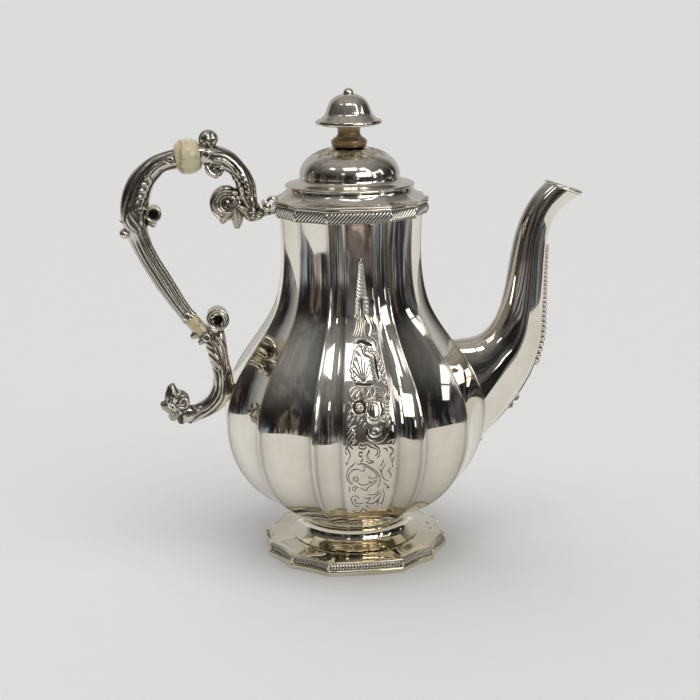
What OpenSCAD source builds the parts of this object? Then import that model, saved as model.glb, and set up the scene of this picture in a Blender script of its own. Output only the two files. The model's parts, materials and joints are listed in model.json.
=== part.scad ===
// Footed coffee pot with a fluted body, swan-neck spout, scroll handle and hinged lid.
// The pot's axis is Z, its foot stands on z = 0, the spout points to +X and the handle to -X.

/* [Body] */
// Radius of the belly over the ridges
belly_r = 77; // [72:0.5:82]
// Height of the widest part of the belly
belly_z = 83; // [80:0.5:86]
// Depth over which the lower belly closes in
belly_drop = 64.5; // [63:0.5:68]
// Roundness of the lower belly, 2 being an ellipse
belly_power = 2.1; // [2:0.05:2.3]
// Radius where the shoulder is steepest
shoulder_r = 63; // [60:0.5:66]
// Height where the shoulder is steepest
shoulder_z = 120; // [117:0.5:123]
// Radius at the foot of the neck
throat_r = 44.4; // [43:0.2:46]
// Height of the foot of the neck
throat_z = 150; // [147:0.5:153]
// Radius of the neck at its narrowest
waist_r = 40.4; // [39.4:0.2:41.4]
// Height of the narrowest neck
waist_z = 182; // [178:0.5:186]
// How far the rim's cusps stand out from the neck's ridges
rim_overhang = 3.6; // [2.8:0.2:4.4]
// Height of the body's top edge
body_top_z = 200; // [196:0.5:204]
// Thickness of the silver sheet
wall = 1.2; // [0.9:0.1:1.6]
// Depth of a flute as a share of the radius
flute_depth = 0.047; // [0.03:0.001:0.055]
// Depth of the hollows beside the front strip as a share of the radius
side_depth = 0.03; // [0.02:0.001:0.04]
// Depth of the front strip as a share of the radius
strip_depth = 0.015; // [0:0.001:0.02]
// Half angle of the wide front and back panels
wide_half = 23.5; // [22:0.5:25]
// Half angle of the strip in the wide panels
strip_half = 10.8; // [9:0.2:12]

/* [Strainer] */
// Diameter of a strainer hole
strainer_hole_d = 2.6; // [2:0.2:3.2]
// Distance between strainer holes
strainer_pitch = 6; // [5:0.2:7]

/* [Foot] */
// Radius of the foot's base band over the cusps
foot_r = 54.6; // [52:0.2:57]
// Height of the base band
base_band_h = 3.3; // [2.8:0.1:4]
// Height of the rope band on the foot
foot_rope_h = 3.3; // [2.8:0.1:3.8]
// Radial width of the foot's bands
foot_band_w = 6; // [5:0.2:8]
// Thickness of the foot plate
foot_plate_t = 1.1; // [0.9:0.1:1.4]
// Height of the thin wire round the plate
edge_wire_h = 1.3; // [1:0.1:1.6]
// Radius of the foot's neck
foot_neck_r = 30.5; // [29:0.5:31.5]
// How far the bright ring stands out from the foot's neck
collar_ring_proud = 2.5; // [1.5:0.5:4.5]
// Height of the bright ring
collar_ring_z = 19; // [18:0.2:20]
// Height where the body meets the foot
foot_top_z = 25; // [24:0.2:26]
// Depth of the scallops in the foot and rim as a share of the radius
scallop_depth = 0.052; // [0.03:0.002:0.06]

/* [Rim] */
// Width of the rim from its cusps to the mouth
rim_w = 7.4; // [6.8:0.2:8.4]
// Radius of the rope band over the cusps
rim_r = 44.8; // [44:0.2:46]
// Height of the rope band
rim_rope_h = 6.6; // [5.6:0.2:7.4]
// Height of the thin wire on the rope band
rim_wire_h = 1.3; // [1:0.1:1.6]

/* [Spout] */
// Thickness of the spout's sheet
spout_wall = 1.3; // [1:0.1:1.5]
// Half width of the spout's root
spout_root_half = 17; // [15:0.5:18]
// Half width of the spout's mouth
spout_mouth_half = 9.6; // [8.6:0.2:10.6]
// Diameter of the lip's wire
lip_wire_d = 2.2; // [1.8:0.1:2.6]
// Diameter of the largest bead on the spout
spout_bead_d = 4.4; // [3.6:0.2:5]

/* [Lid] */
// Gap between the rim and the closed lid
lid_gap = 0.3; // [0.3:0.05:0.6]
// Radial clearance of the bezel in the mouth
bezel_gap = 0.6; // [0.5:0.1:0.9]
// Depth of the bezel below the lid
bezel_h = 4.6; // [3.6:0.2:6]
// Thickness of the bezel
bezel_t = 1.2; // [1:0.1:1.6]
// Width of the lid's shoulder from its cusps to the dome's flange
shoulder_w = 8.1; // [7.6:0.1:8.8]
// Height of the lid's shoulder
shoulder_h = 7.3; // [6.4:0.1:8.2]
// Width of the ledge from the flange to the dome
dome_ledge = 8.3; // [7.3:0.2:9.3]
// Height of the dome with its flange
dome_total_h = 22.1; // [21.1:0.2:23.1]

/* [Knob] */
// Radius of the ivory collar at its bead
knob_bead_r = 10.2; // [9.4:0.2:11]
// Radius of the ivory collar at its waist
knob_waist_r = 6.4; // [5.8:0.2:7]
// Height of the ivory collar
knob_collar_h = 11.9; // [11:0.1:13]
// Radius of the bell cap's flange
cap_flange_r = 18.7; // [17.5:0.1:20]
// Height of the bell cap
cap_h = 17.3; // [16:0.1:18.4]
// Diameter of the ball finial
finial_d = 6; // [5:0.2:6.4]
// Diameter of the knob's rod
rod_d = 3; // [2.4:0.1:3.6]
// Radial clearance round the rod
rod_gap = 0.1; // [0.05:0.05:0.2]

/* [Hinge] */
// Distance from the rim's cusps out to the hinge pin
hinge_out = 2.8; // [2.2:0.1:3.6]
// Height of the hinge pin above the body's top edge
hinge_rise = 6; // [5.4:0.1:6.6]
// Radius of the hinge knuckles
knuckle_r = 2.5; // [2.2:0.1:2.7]
// Diameter of the hinge pin
hinge_pin_d = 2; // [1.6:0.1:2.4]
// Radial clearance of the pin in the lid's knuckle
hinge_pin_gap = 0.05; // [0.03:0.01:0.08]
// Length of the lid's knuckle
lid_knuckle_l = 6; // [5:0.5:7]
// Length of each knuckle on the body
body_knuckle_l = 4.4; // [3.6:0.2:5]
// Gap between knuckles
knuckle_gap = 0.3; // [0.2:0.05:0.4]

/* [Handle] */
// Half width of the grip across the reeds
grip_half = 5; // [4.4:0.2:5.6]
// Half width of the grip across the leaves
leaf_half = 6.6; // [6:0.2:7.6]
// Half width of the upper mount
mount_half = 6.4; // [6:0.2:7]
// Diameter of the upper ivory bead
upper_bead_d = 20; // [19:0.2:21]
// Length of the upper ivory bead
upper_bead_l = 14; // [13:0.2:15]
// Diameter of the lower ivory collar
lower_collar_d = 9; // [8.6:0.2:9.6]
// Length of the lower ivory collar
lower_collar_l = 10.6; // [10:0.2:11.4]
// Diameter of the ivory spigots in their sockets
spigot_d = 5.4; // [4.8:0.2:5.8]
// Length of the ivory spigots
spigot_l = 6; // [5:0.2:6.4]
// Radial clearance of spigots and cross pins
handle_fit_gap = 0.1; // [0.05:0.05:0.2]
// Diameter of the cross pins
cross_pin_d = 2; // [1.6:0.1:2.2]
// Diameter of the cross pins' heads
cross_pin_head_d = 4.4; // [3.8:0.2:5]

/* [Hidden] */
$fn = 72;

silver = "silver";
ivory = "cornsilk";

// ---- plan of the flutes: ten narrow panels, and a wide one at the front and the back ----
narrow_half = (90 - wide_half) / 5;
side_half = (wide_half - strip_half) / 2;
side_mid = wide_half - side_half;
soft_depth = 0.012;
wide_scallop = 1.25;
mouth_r = rim_r - rim_w;
neck_top_r = rim_r - rim_overhang;
narrow_steps = 4;
side_steps = 3;
strip_steps = 4;

function lerp(a, b, t) = a + (b - a) * t;
function bowl(t) = 1 - t * t;
function fold(a) = let (b = abs((a % 360 + 540) % 360 - 180)) b > 90 ? 180 - b : b;
function narrow_t(b) = (b - 2 * narrow_half * round(b / (2 * narrow_half))) / narrow_half;
function side_t(c) = (c - side_mid) / side_half;

// share of the radius that a flute takes away at angle a
function flute(a) = let (b = fold(a), c = 90 - b)
    c > wide_half ? flute_depth * bowl(narrow_t(b))
    : c > strip_half ? soft_depth * (wide_half - c) / (2 * side_half) + side_depth * bowl(side_t(c))
    : soft_depth + strip_depth * bowl(c / strip_half);

// the simpler scallops of the rim, lid and foot
function scallop(a) = let (b = fold(a), c = 90 - b)
    scallop_depth * (c > wide_half ? bowl(narrow_t(b)) : wide_scallop * bowl(c / wide_half));

function spread(from, to, steps) = [for (i = [0 : steps - 1]) lerp(from, to, i / steps)];
narrow_panels = [for (k = [-2 : 2]) each spread((2 * k - 1) * narrow_half, (2 * k + 1) * narrow_half, narrow_steps)];
wide_panel = [
    each spread(90 - wide_half, 90 - strip_half, side_steps),
    each spread(90 - strip_half, 90 + strip_half, strip_steps),
    each spread(90 + strip_half, 90 + wide_half, side_steps)
];
half_turn = concat(narrow_panels, wide_panel);
flute_angles = concat(half_turn, [for (a = half_turn) a + 180]);
cusp_angles = [for (h = [0, 180]) for (k = [-3 : 2]) h + (2 * k + 1) * narrow_half];

// ---- profile of the body ----
shoulder_slope = -0.71;
throat_slope = -0.32;
neck_top_slope = 0.08;

// cubic between two heights with given radii and slopes
function ease(z, z0, r0, s0, z1, r1, s1) =
    let (h = z1 - z0, t = (z - z0) / h)
    r0 * (1 + 2 * t) * pow(1 - t, 2) + s0 * h * t * pow(1 - t, 2)
    + r1 * t * t * (3 - 2 * t) + s1 * h * t * t * (t - 1);
function ridge_r(z) =
    z < belly_z ? belly_r * pow(1 - pow((belly_z - z) / belly_drop, belly_power), 1 / belly_power)
    : z < shoulder_z ? ease(z, belly_z, belly_r, 0, shoulder_z, shoulder_r, shoulder_slope)
    : z < throat_z ? ease(z, shoulder_z, shoulder_r, shoulder_slope, throat_z, throat_r, throat_slope)
    : z < waist_z ? ease(z, throat_z, throat_r, throat_slope, waist_z, waist_r, 0)
    : ease(z, waist_z, waist_r, 0, body_top_z, neck_top_r, neck_top_slope);
slope_step = 0.1;
function ridge_slope(z) = (ridge_r(z + slope_step) - ridge_r(z - slope_step)) / (2 * slope_step);
function body_r(a, z) = ridge_r(z) * (1 - flute(a));
function inner_r(a, z) = body_r(a, z) - wall * sqrt(1 + pow(ridge_slope(z), 2));

lower_rings = 12;
upper_rings = 20;
body_heights = concat(
    [for (i = [0 : lower_rings - 1]) belly_z - (belly_z - foot_top_z) * cos(90 * i / lower_rings)],
    [for (i = [0 : upper_rings]) lerp(belly_z, body_top_z, i / upper_rings)]
);

// ---- skins ----
function polar(r, a, z) = [r * cos(a), r * sin(a), z];
function reversed(list) = [for (i = [len(list) - 1 : -1 : 0]) list[i]];

// faces between rings of m points, each ring joined to the one after it
function ring_faces(n, m, closed) = [
    for (i = [0 : closed ? n - 1 : n - 2])
    for (j = [0 : m - 1])
    let (a = i * m + j, b = i * m + (j + 1) % m, d = ((i + 1) % n) * m + j, c = ((i + 1) % n) * m + (j + 1) % m)
    each [[a, c, b], [a, d, c]]
];

// a shell whose rings run up the outside and down the inside
module closed_skin(rings) {
    polyhedron(points = [for (r = rings) each r], faces = ring_faces(len(rings), len(rings[0]), true));
}

// a solid bar with flat ends
module bar_skin(rings) {
    n = len(rings);
    m = len(rings[0]);
    first = [for (j = [0 : m - 1]) j];
    last = [for (j = [m - 1 : -1 : 0]) (n - 1) * m + j];
    polyhedron(points = [for (r = rings) each r], faces = concat([first], ring_faces(n, m, false), [last]));
}

// smooth curve through a list of stations
function catmull(p0, p1, p2, p3, t) =
    0.5 * (2 * p1 + (p2 - p0) * t + (2 * p0 - 5 * p1 + 4 * p2 - p3) * t * t + (3 * p1 - p0 - 3 * p2 + p3) * t * t * t);
function smooth(list, steps) = let (n = len(list)) [
    for (i = [0 : n - 2])
    for (j = [0 : i == n - 2 ? steps : steps - 1])
    catmull(list[max(i - 1, 0)], list[i], list[i + 1], list[min(i + 2, n - 1)], j / steps)
];

// oval ring between two edge points [x, z] in the plane of spout and handle, half_y wide;
// turn is 1 or -1 so that the faces look outwards
function edge_ring(s, turn, sides, inset = 0) =
    let (c = [s[0] + s[2], s[1] + s[3]] / 2, u = [s[0] - s[2], s[1] - s[3]] / 2, k = 1 - inset / norm(u))
    [for (j = [0 : sides - 1]) let (p = 360 * j / sides)
        [c[0] + k * u[0] * cos(p), turn * (s[4] - inset) * sin(p), c[1] + k * u[1] * cos(p)]];

// swept bar through stations [outer x, outer z, inner x, inner z, half width]
module edge_bar(stations, turn, steps, sides) {
    bar_skin([for (s = smooth(stations, steps)) edge_ring(s, turn, sides)]);
}

// ring with a scalloped outside and a round inside
module scalloped_ring(r, inside_r, z, h) {
    translate([0, 0, z]) linear_extrude(h) difference() {
        polygon([for (a = flute_angles) r * (1 - scallop(a)) * [cos(a), sin(a)]]);
        circle(inside_r);
    }
}

// places children at [x, z] in the plane of the handle, their Z along the direction at angle above +X
module aim(p, angle) {
    translate([p[0], 0, p[1]]) rotate([0, 90 - angle, 0]) children();
}
function along(p, angle, d) = p + d * [cos(angle), sin(angle)];

// ---- body ----
module strainer_holes() {
    first_z = 64;
    rows = 9;
    inside_x = belly_r / 2;
    for (row = [0 : rows - 1])
        for (k = row % 2 == 0 ? [-1, 0, 1] : [-0.5, 0.5])
            translate([inside_x, k * strainer_pitch, first_z + row * strainer_pitch * sin(60)])
                rotate([0, 90, 0]) cylinder(d = strainer_hole_d, h = belly_r, $fn = 24);
}

module body_shell() {
    outer = [for (z = body_heights) [for (a = flute_angles) polar(body_r(a, z), a, z)]];
    inner = [for (z = body_heights) [for (a = flute_angles) polar(inner_r(a, z), a, z)]];
    color(silver) difference() {
        closed_skin(concat(outer, reversed(inner)));
        strainer_holes();
    }
}

bottom_gap = 0.3;
bottom_t = 1.4;
bottom_r = ridge_r(foot_top_z) * (1 - flute_depth) - wall * sqrt(1 + pow(ridge_slope(foot_top_z), 2)) - bottom_gap;
module body_bottom() {
    color(silver) translate([0, 0, foot_top_z]) cylinder(r = bottom_r, h = bottom_t);
}

// ---- rim ----
rim_wire_z = body_top_z + rim_rope_h;
rim_top_z = rim_wire_z + rim_wire_h;
rope_bulge = 0.5;
module rim_rope_band() {
    bulge_h = rim_rope_h / 6;
    color(silver) union() {
        scalloped_ring(rim_r - rope_bulge, mouth_r, body_top_z, rim_rope_h);
        scalloped_ring(rim_r, mouth_r, body_top_z + bulge_h, rim_rope_h - 2 * bulge_h);
    }
}

module rim_wire() {
    color(silver) scalloped_ring(rim_r, mouth_r, rim_wire_z, rim_wire_h);
}

// ---- foot ----
rope_z = base_band_h;
plate_z = rope_z + foot_rope_h;
base_edge = 0.5;
module foot_base_band() {
    inside_r = foot_r * (1 - scallop_depth * wide_scallop) - foot_band_w;
    edge_h = base_band_h / 5;
    color(silver) union() {
        scalloped_ring(foot_r - base_edge, inside_r, 0, base_band_h);
        scalloped_ring(foot_r, inside_r, edge_h, base_band_h - 2 * edge_h);
    }
}

rope_inset = 1.1;
rope_band_r = foot_r - rope_inset;
module foot_rope_band() {
    inside_r = rope_band_r * (1 - scallop_depth * wide_scallop) - foot_band_w / 2;
    color(silver) difference() {
        scalloped_ring(rope_band_r, inside_r, rope_z, foot_rope_h);
        corner_posts(stop_r + stop_gap, rope_z - 1, foot_rope_h + 2);
    }
}

plate_inset = 2.4;
plate_r = foot_r - plate_inset;
edge_gap = 0.1;
module foot_edge_wire() {
    color(silver) translate([0, 0, plate_z]) linear_extrude(edge_wire_h) difference() {
        polygon([for (a = flute_angles) rope_band_r * (1 - scallop(a)) * [cos(a), sin(a)]]);
        polygon([for (a = flute_angles) (plate_r + edge_gap) * (1 - scallop(a)) * [cos(a), sin(a)]]);
    }
}

// the plate rises from its edge to the foot's neck, and its scallops fade out on the way
dish_rise = 3.4;
dish_rings = 7;
dish_inner_r = foot_neck_r + 1.2;
function dish_z(t) = plate_z + dish_rise * pow(t, 2.2);
function dish_ring(t, z) = [for (a = flute_angles)
    polar(lerp(plate_r, dish_inner_r, t) * (1 - scallop(a) * (1 - t)), a, z)];
module foot_dish() {
    top = [for (i = [0 : dish_rings]) let (t = i / dish_rings) dish_ring(t, dish_z(t) + foot_plate_t)];
    under = [for (i = [0 : dish_rings]) let (t = i / dish_rings) dish_ring(t, dish_z(t))];
    color(silver) closed_skin(concat(top, reversed(under)));
}

// neck of the foot: flange under the body, cove, bright ring and wall down to the plate
module foot_collar() {
    dish_top = plate_z + dish_rise + foot_plate_t;
    flange_t = 1.2;
    flange_r = foot_neck_r + 2.5;
    collar_ring_r = foot_neck_r + collar_ring_proud;
    ring_half = 1.1;
    outside = [
        [flange_r, foot_top_z], [flange_r, foot_top_z - flange_t], [foot_neck_r + 0.6, foot_top_z - 2.4],
        [foot_neck_r, foot_top_z - 3.6], [foot_neck_r + 0.6, collar_ring_z + ring_half + 0.4],
        [collar_ring_r - 0.5, collar_ring_z + ring_half], [collar_ring_r, collar_ring_z],
        [collar_ring_r - 0.5, collar_ring_z - ring_half], [foot_neck_r + 0.7, collar_ring_z - ring_half - 0.6],
        [foot_neck_r, lerp(collar_ring_z, dish_top, 0.6)], [foot_neck_r + 0.8, dish_top + 0.6],
        [dish_inner_r + 1.6, dish_top], [dish_inner_r - 0.3, dish_top], [dish_inner_r - 0.3, dish_top - foot_plate_t]
    ];
    bore_r = foot_neck_r - wall;
    seat_w = 3;
    inside = [
        [bore_r, dish_top - foot_plate_t], [bore_r, foot_top_z - flange_t],
        [bore_r - seat_w, foot_top_z - flange_t], [bore_r - seat_w, foot_top_z]
    ];
    color(silver) rotate_extrude() polygon(concat(outside, inside));
}

stop_r = 1.1;
stop_gap = 0.05;
module corner_posts(r, z, h) {
    for (a = cusp_angles)
        rotate([0, 0, a]) translate([foot_r - stop_r, 0, z]) cylinder(r = r, h = h, $fn = 24);
}
module foot_corner_stops() {
    color(silver) corner_posts(stop_r, rope_z, foot_rope_h);
}

// ---- spout ----
spout_sides = 20;
spout_root_top_z = 122.5;
spout_root_low_z = 49.5;
root_mid_z = (spout_root_top_z + spout_root_low_z) / 2;
root_half_h = (spout_root_top_z - spout_root_low_z) / 2;
root_embed = 0.5;
root_rings = 3;
// stations from the root to the lip: outer edge x and z, inner edge x and z, half width
spout_stations = [
    [88, 75.4, 70, 123, 16], [98.5, 89.5, 76.5, 126.3, 14.6], [107, 104, 82, 131.8, 13.2],
    [112, 120, 85.8, 139, 12.3], [113.2, 138, 88.7, 149, 11.9], [113.7, 155, 91, 161, 11.4],
    [114.2, 170, 93.2, 173.5, 10.8], [115.4, 183, 95.9, 185.5, 10], [118.6, 192.5, 99.8, 196, 9.3],
    [124, 199.3, 105, 205, 9.1], [130.5, 203.7, 110, 211, 9.3], [134.4, 206, 112.8, 213.5, spout_mouth_half]
];

function surface_x(y, z, x = 70, n = 6) = n == 0 ? x
    : surface_x(y, z, sqrt(max(1, pow(body_r(atan2(y, x), z), 2) - y * y)), n - 1);
function root_ring(inset) = [for (j = [0 : spout_sides - 1])
    let (p = 360 * j / spout_sides)
    let (y = (spout_root_half - inset) * sin(p), z = root_mid_z - (root_half_h - inset) * cos(p))
    [surface_x(y, z) - root_embed, y, z]];
function blend_rings(a, b, t) = [for (j = [0 : len(a) - 1]) lerp(a[j], b[j], t)];
function spout_rings(inset) =
    let (root = root_ring(inset), tube = [for (s = smooth(spout_stations, 2)) edge_ring(s, 1, spout_sides, inset)])
    concat([for (i = [0 : root_rings - 1]) blend_rings(root, tube[0], i / root_rings)], tube);

module spout_shell() {
    color(silver) closed_skin(concat(spout_rings(0), reversed(spout_rings(spout_wall))));
}

lip_station = spout_stations[len(spout_stations) - 1];
lip_out = [lip_station[0], lip_station[1]];
lip_in = [lip_station[2], lip_station[3]];
module spout_lip_wire() {
    sides = 8;
    count = 28;
    mid = (lip_out + lip_in) / 2;
    u = (lip_out - lip_in) / 2;
    lip_over = 0.3;
    long_r = norm(u) - lip_wire_d / 2 + lip_over;
    short_r = spout_mouth_half - lip_wire_d / 2 + lip_over;
    e = u / norm(u);
    normal = [-e[1], e[0]];
    wire_r = lip_wire_d / 2;
    wire = [for (i = [0 : count - 1])
        let (p = 360 * i / count, q = atan2(sin(p) / short_r, cos(p) / long_r))
        [for (j = [0 : sides - 1])
            let (v = -360 * j / sides, out = wire_r * cos(v), up = wire_r * (1 + sin(v)))
            let (a = long_r * cos(p) + out * cos(q), b = short_r * sin(p) + out * sin(q))
            [mid[0] + a * e[0] + up * normal[0], b, mid[1] + a * e[1] + up * normal[1]]]];
    color(silver) closed_skin(wire);
}

// beads down the outer ridge, each seated on the spout's outer edge
bead_count = 17;
bead_edge = smooth([for (s = spout_stations) [s[0], s[1]]], 2);
module spout_ornament() {
    top = 15;
    low = 5;
    sink = 0.2;
    smallest_d = 1.6;
    color(silver) for (i = [0 : bead_count - 1]) {
        t = i / (bead_count - 1);
        k = lerp(top, low, t);
        p = lerp(bead_edge[floor(k)], bead_edge[ceil(k)], k - floor(k));
        d = lerp(smallest_d, spout_bead_d, t);
        translate([p[0] + d * (0.5 - sink), 0, p[1]]) sphere(d = d, $fn = 24);
    }
}

// ---- lid ----
lid_z = rim_top_z + lid_gap;
shoulder_in_r = mouth_r - 1.8;
dome_flange_r = rim_r - shoulder_w;
dome_flange_z = lid_z + shoulder_h;
dome_r = dome_flange_r - dome_ledge;
dome_top_z = dome_flange_z + dome_total_h;
// [radius, height above the lid's underside, share of the scallop]
shoulder_outside = [
    [rim_r, 0, 1], [rim_r + 0.2, 0.6, 1], [rim_r - 0.4, 1.2, 1], [rim_r - 2.6, 1.8, 0.9], [rim_r - 5, 2.8, 0.6],
    [dome_flange_r + 0.9, 4.2, 0.25], [dome_flange_r - 0.4, 5.8, 0], [dome_flange_r - 0.7, shoulder_h, 0]
];
shoulder_inside = [
    [dome_flange_r - 2.1, shoulder_h, 0], [dome_flange_r - 1.9, 4, 0], [shoulder_in_r, 0, 0]
];
module lid_shoulder() {
    rings = [for (p = concat(shoulder_outside, shoulder_inside))
        [for (a = flute_angles) polar(p[0] * (1 - scallop(a) * p[2]), a, lid_z + p[1])]];
    color(silver) closed_skin(rings);
}

module lid_bezel() {
    out_r = mouth_r - bezel_gap;
    color(silver) translate([0, 0, lid_z - bezel_h]) difference() {
        cylinder(r = out_r, h = bezel_h);
        translate([0, 0, -1]) cylinder(r = out_r - bezel_t, h = bezel_h + 2);
    }
}

dome_foot_z = dome_flange_z + 5.5;
dome_h = dome_top_z - dome_foot_z;
dome_power = 2.3;
dome_steps = 14;
function dome_point(t, inset) = [
    (dome_r - inset) * pow(cos(t), 2 / dome_power),
    dome_foot_z + (dome_h - inset) * pow(sin(t), 2 / dome_power)
];
seat_r = 9.8;
last_t = 78;
rod_bore_r = rod_d / 2 + rod_gap;
dome_inside_z = dome_point(last_t, wall)[1];
module lid_dome() {
    outside = [
        [dome_flange_r - 0.5, dome_flange_z], [dome_flange_r, dome_flange_z + 0.9],
        [dome_flange_r - 0.4, dome_flange_z + 1.8], [dome_r + 4.8, dome_flange_z + 2.4],
        [dome_r + 1.4, dome_flange_z + 3.6]
    ];
    over = [for (i = [0 : dome_steps]) dome_point(last_t * i / dome_steps, 0)];
    seat = [[seat_r, over[dome_steps][1]], [seat_r, dome_top_z], [rod_bore_r, dome_top_z], [rod_bore_r, dome_inside_z]];
    under = [for (i = [dome_steps : -1 : 0]) dome_point(last_t * i / dome_steps, wall)];
    flange_in_r = dome_flange_r - 2.9;
    inside = [[dome_r + 0.6, dome_flange_z + 2.2], [flange_in_r, dome_flange_z + 1], [flange_in_r, dome_flange_z]];
    color(silver) rotate_extrude() polygon(concat(outside, over, seat, under, inside));
}

// ---- knob, stacked on the dome ----
module knob_insulator() {
    profile = [
        [knob_bead_r - 0.9, 0], [knob_bead_r, 1.9], [knob_bead_r, 3.4], [knob_bead_r - 1.1, 4.8],
        [knob_waist_r + 1, 5.8], [knob_waist_r, 7.2], [knob_waist_r, 9.2], [knob_waist_r + 0.7, knob_collar_h]
    ];
    color(ivory) translate([0, 0, dome_top_z]) rotate_extrude()
        polygon(concat(smooth(profile, 3), [[rod_bore_r, knob_collar_h], [rod_bore_r, 0]]));
}

cap_z = dome_top_z + knob_collar_h;
cap_plate_t = 1.2;
cap_plate_r = cap_flange_r - 2.3;
module knob_cap_plate() {
    color(silver) translate([0, 0, cap_z]) difference() {
        cylinder(r = cap_plate_r, h = cap_plate_t);
        translate([0, 0, -1]) cylinder(r = rod_bore_r, h = cap_plate_t + 2);
    }
}

module knob_cap() {
    top = cap_h;
    outside = smooth([
        [cap_flange_r - 0.9, 0.3], [cap_flange_r, 1.9], [cap_flange_r - 0.6, 3.4], [cap_flange_r - 4, 5],
        [cap_flange_r - 5.9, 7.6], [cap_flange_r - 7.2, 11], [cap_flange_r - 9.4, top - 2.9],
        [cap_flange_r - 13, top - 0.6], [rod_bore_r + 1.5, top]
    ], 3);
    inside = [
        [rod_bore_r, top], [rod_bore_r, top - wall], [cap_flange_r - 13, top - wall - 1], [cap_flange_r - 10.3, top - 4],
        [cap_flange_r - 8.4, 11], [cap_flange_r - 7.2, 7], [cap_flange_r - 5, 4], [cap_plate_r - 1, cap_plate_t + 1.2],
        [cap_plate_r - 1, cap_plate_t], [cap_plate_r + 0.1, cap_plate_t], [cap_plate_r + 0.1, 0.3]
    ];
    color(silver) translate([0, 0, cap_z]) rotate_extrude() polygon(concat(outside, inside));
}

finial_seat_z = cap_z + cap_h;
finial_r = finial_d / 2;
finial_sink = 0.2;
module knob_finial() {
    color(silver) difference() {
        translate([0, 0, finial_seat_z + finial_sink]) sphere(d = finial_d);
        translate([-finial_d, -finial_d, finial_seat_z - 2 * finial_d]) cube(2 * finial_d);
        translate([0, 0, finial_seat_z - 1]) cylinder(r = rod_bore_r, h = 1 + finial_r / 2);
    }
}

washer_t = 1;
nut_h = 2.4;
washer_z = dome_inside_z - washer_t;
nut_z = washer_z - nut_h;
module knob_washer() {
    color(silver) translate([0, 0, washer_z]) difference() {
        cylinder(r = rod_d / 2 + 3.2, h = washer_t);
        translate([0, 0, -1]) cylinder(r = rod_bore_r, h = washer_t + 2);
    }
}

module knob_nut() {
    color(silver) translate([0, 0, nut_z]) difference() {
        cylinder(r = rod_d / 2 + 2, h = nut_h, $fn = 6);
        translate([0, 0, -1]) cylinder(r = rod_bore_r, h = nut_h + 2);
    }
}

rod_tail = 1.2;
rod_low_z = nut_z - rod_tail;
rod_top_z = finial_seat_z + finial_r / 2 - 0.3;
module knob_rod() {
    color(silver) translate([0, 0, rod_low_z]) cylinder(d = rod_d, h = rod_top_z - rod_low_z);
}

// ---- hinge ----
hinge_x = rim_r + hinge_out;
hinge_z = body_top_z + hinge_rise;
knuckle_foot_z = hinge_z - knuckle_r - 0.3;
pin_bore_r = hinge_pin_d / 2 + hinge_pin_gap;
leaf_t = 1.2;
leaf_reach = 3.4;
module barrel(l, r = knuckle_r) {
    translate([-hinge_x, 0, hinge_z]) rotate([90, 0, 0]) cylinder(r = r, h = l, center = true, $fn = 48);
}

// the lid's leaf lies on the shoulder's edge and ends in the middle knuckle
module lid_hinge_leaf() {
    leaf_z = lid_z + 1.4;
    color(silver) difference() {
        union() {
            barrel(lid_knuckle_l);
            translate([-hinge_x, -lid_knuckle_l / 2, hinge_z]) cube([knuckle_r, lid_knuckle_l, leaf_z - hinge_z]);
            translate([-hinge_x, -lid_knuckle_l / 2, leaf_z]) cube([leaf_reach + hinge_x - rim_r, lid_knuckle_l, leaf_t]);
        }
        barrel(lid_knuckle_l + 2, pin_bore_r);
    }
}

body_knuckle_y = lid_knuckle_l / 2 + knuckle_gap;
module hinge_body_knuckles() {
    color(silver) for (side = [-1, 1]) translate([0, side * (body_knuckle_y + body_knuckle_l / 2), 0]) difference() {
        union() {
            barrel(body_knuckle_l);
            translate([-hinge_x - knuckle_r * 0.7, -body_knuckle_l / 2, knuckle_foot_z])
                cube([knuckle_r * 1.4, body_knuckle_l, hinge_z - knuckle_foot_z]);
        }
        barrel(body_knuckle_l + 2, pin_bore_r);
    }
}

pin_head_t = 0.7;
hinge_half_l = body_knuckle_y + body_knuckle_l;
module hinge_pin() {
    color(silver) union() {
        barrel(2 * hinge_half_l + pin_head_t, hinge_pin_d / 2);
        for (side = [-1, 1]) translate([0, side * (hinge_half_l + pin_head_t / 2), 0])
            barrel(pin_head_t, hinge_pin_d / 2 + 0.6);
    }
}

// ---- handle, in the plane y = 0, its points measured from the hinge pin ----
function handle_x(x) = x - hinge_x;
function handle_z(z) = z + hinge_z;
function from_hinge(p) = [handle_x(p[0]), handle_z(p[1])];
function stations_from_hinge(list) = [for (s = list)
    [handle_x(s[0]), handle_z(s[1]), handle_x(s[2]), handle_z(s[3]), s[4]]];
upper_bead_p = from_hinge([-42.8, 28.6]);
upper_axis = 8;
lower_collar_p = from_hinge([-42, -67.8]);
lower_axis = -50.2;
pin_inset = 3;
socket_l = 7.5;
upper_socket_r = 5.4;
mount_socket_r = 6;
lower_socket_r = 4.9;
spigot_r = spigot_d / 2;
cross_pin_r = cross_pin_d / 2;

grip_low = along(lower_collar_p, lower_axis, -lower_collar_l / 2);
mount_low = along(lower_collar_p, lower_axis, lower_collar_l / 2);
grip_high = along(upper_bead_p, upper_axis, -upper_bead_l / 2);
mount_high = along(upper_bead_p, upper_axis, upper_bead_l / 2);

// socket whose mouth is at p, running back along angle
module socket(p, angle, r) {
    aim(p, angle) cylinder(r = r, h = socket_l, $fn = 48);
}
module socket_bores(p, angle) {
    aim(p, angle) translate([0, 0, -1]) cylinder(r = spigot_r + handle_fit_gap, h = spigot_l + 1.3, $fn = 48);
    cross_pin_hole(p, angle);
}
module cross_pin_hole(p, angle) {
    at = along(p, angle, pin_inset);
    translate([at[0], 0, at[1]]) rotate([90, 0, 0])
        cylinder(r = cross_pin_r + handle_fit_gap / 2, h = 30, center = true, $fn = 32);
}

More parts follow.
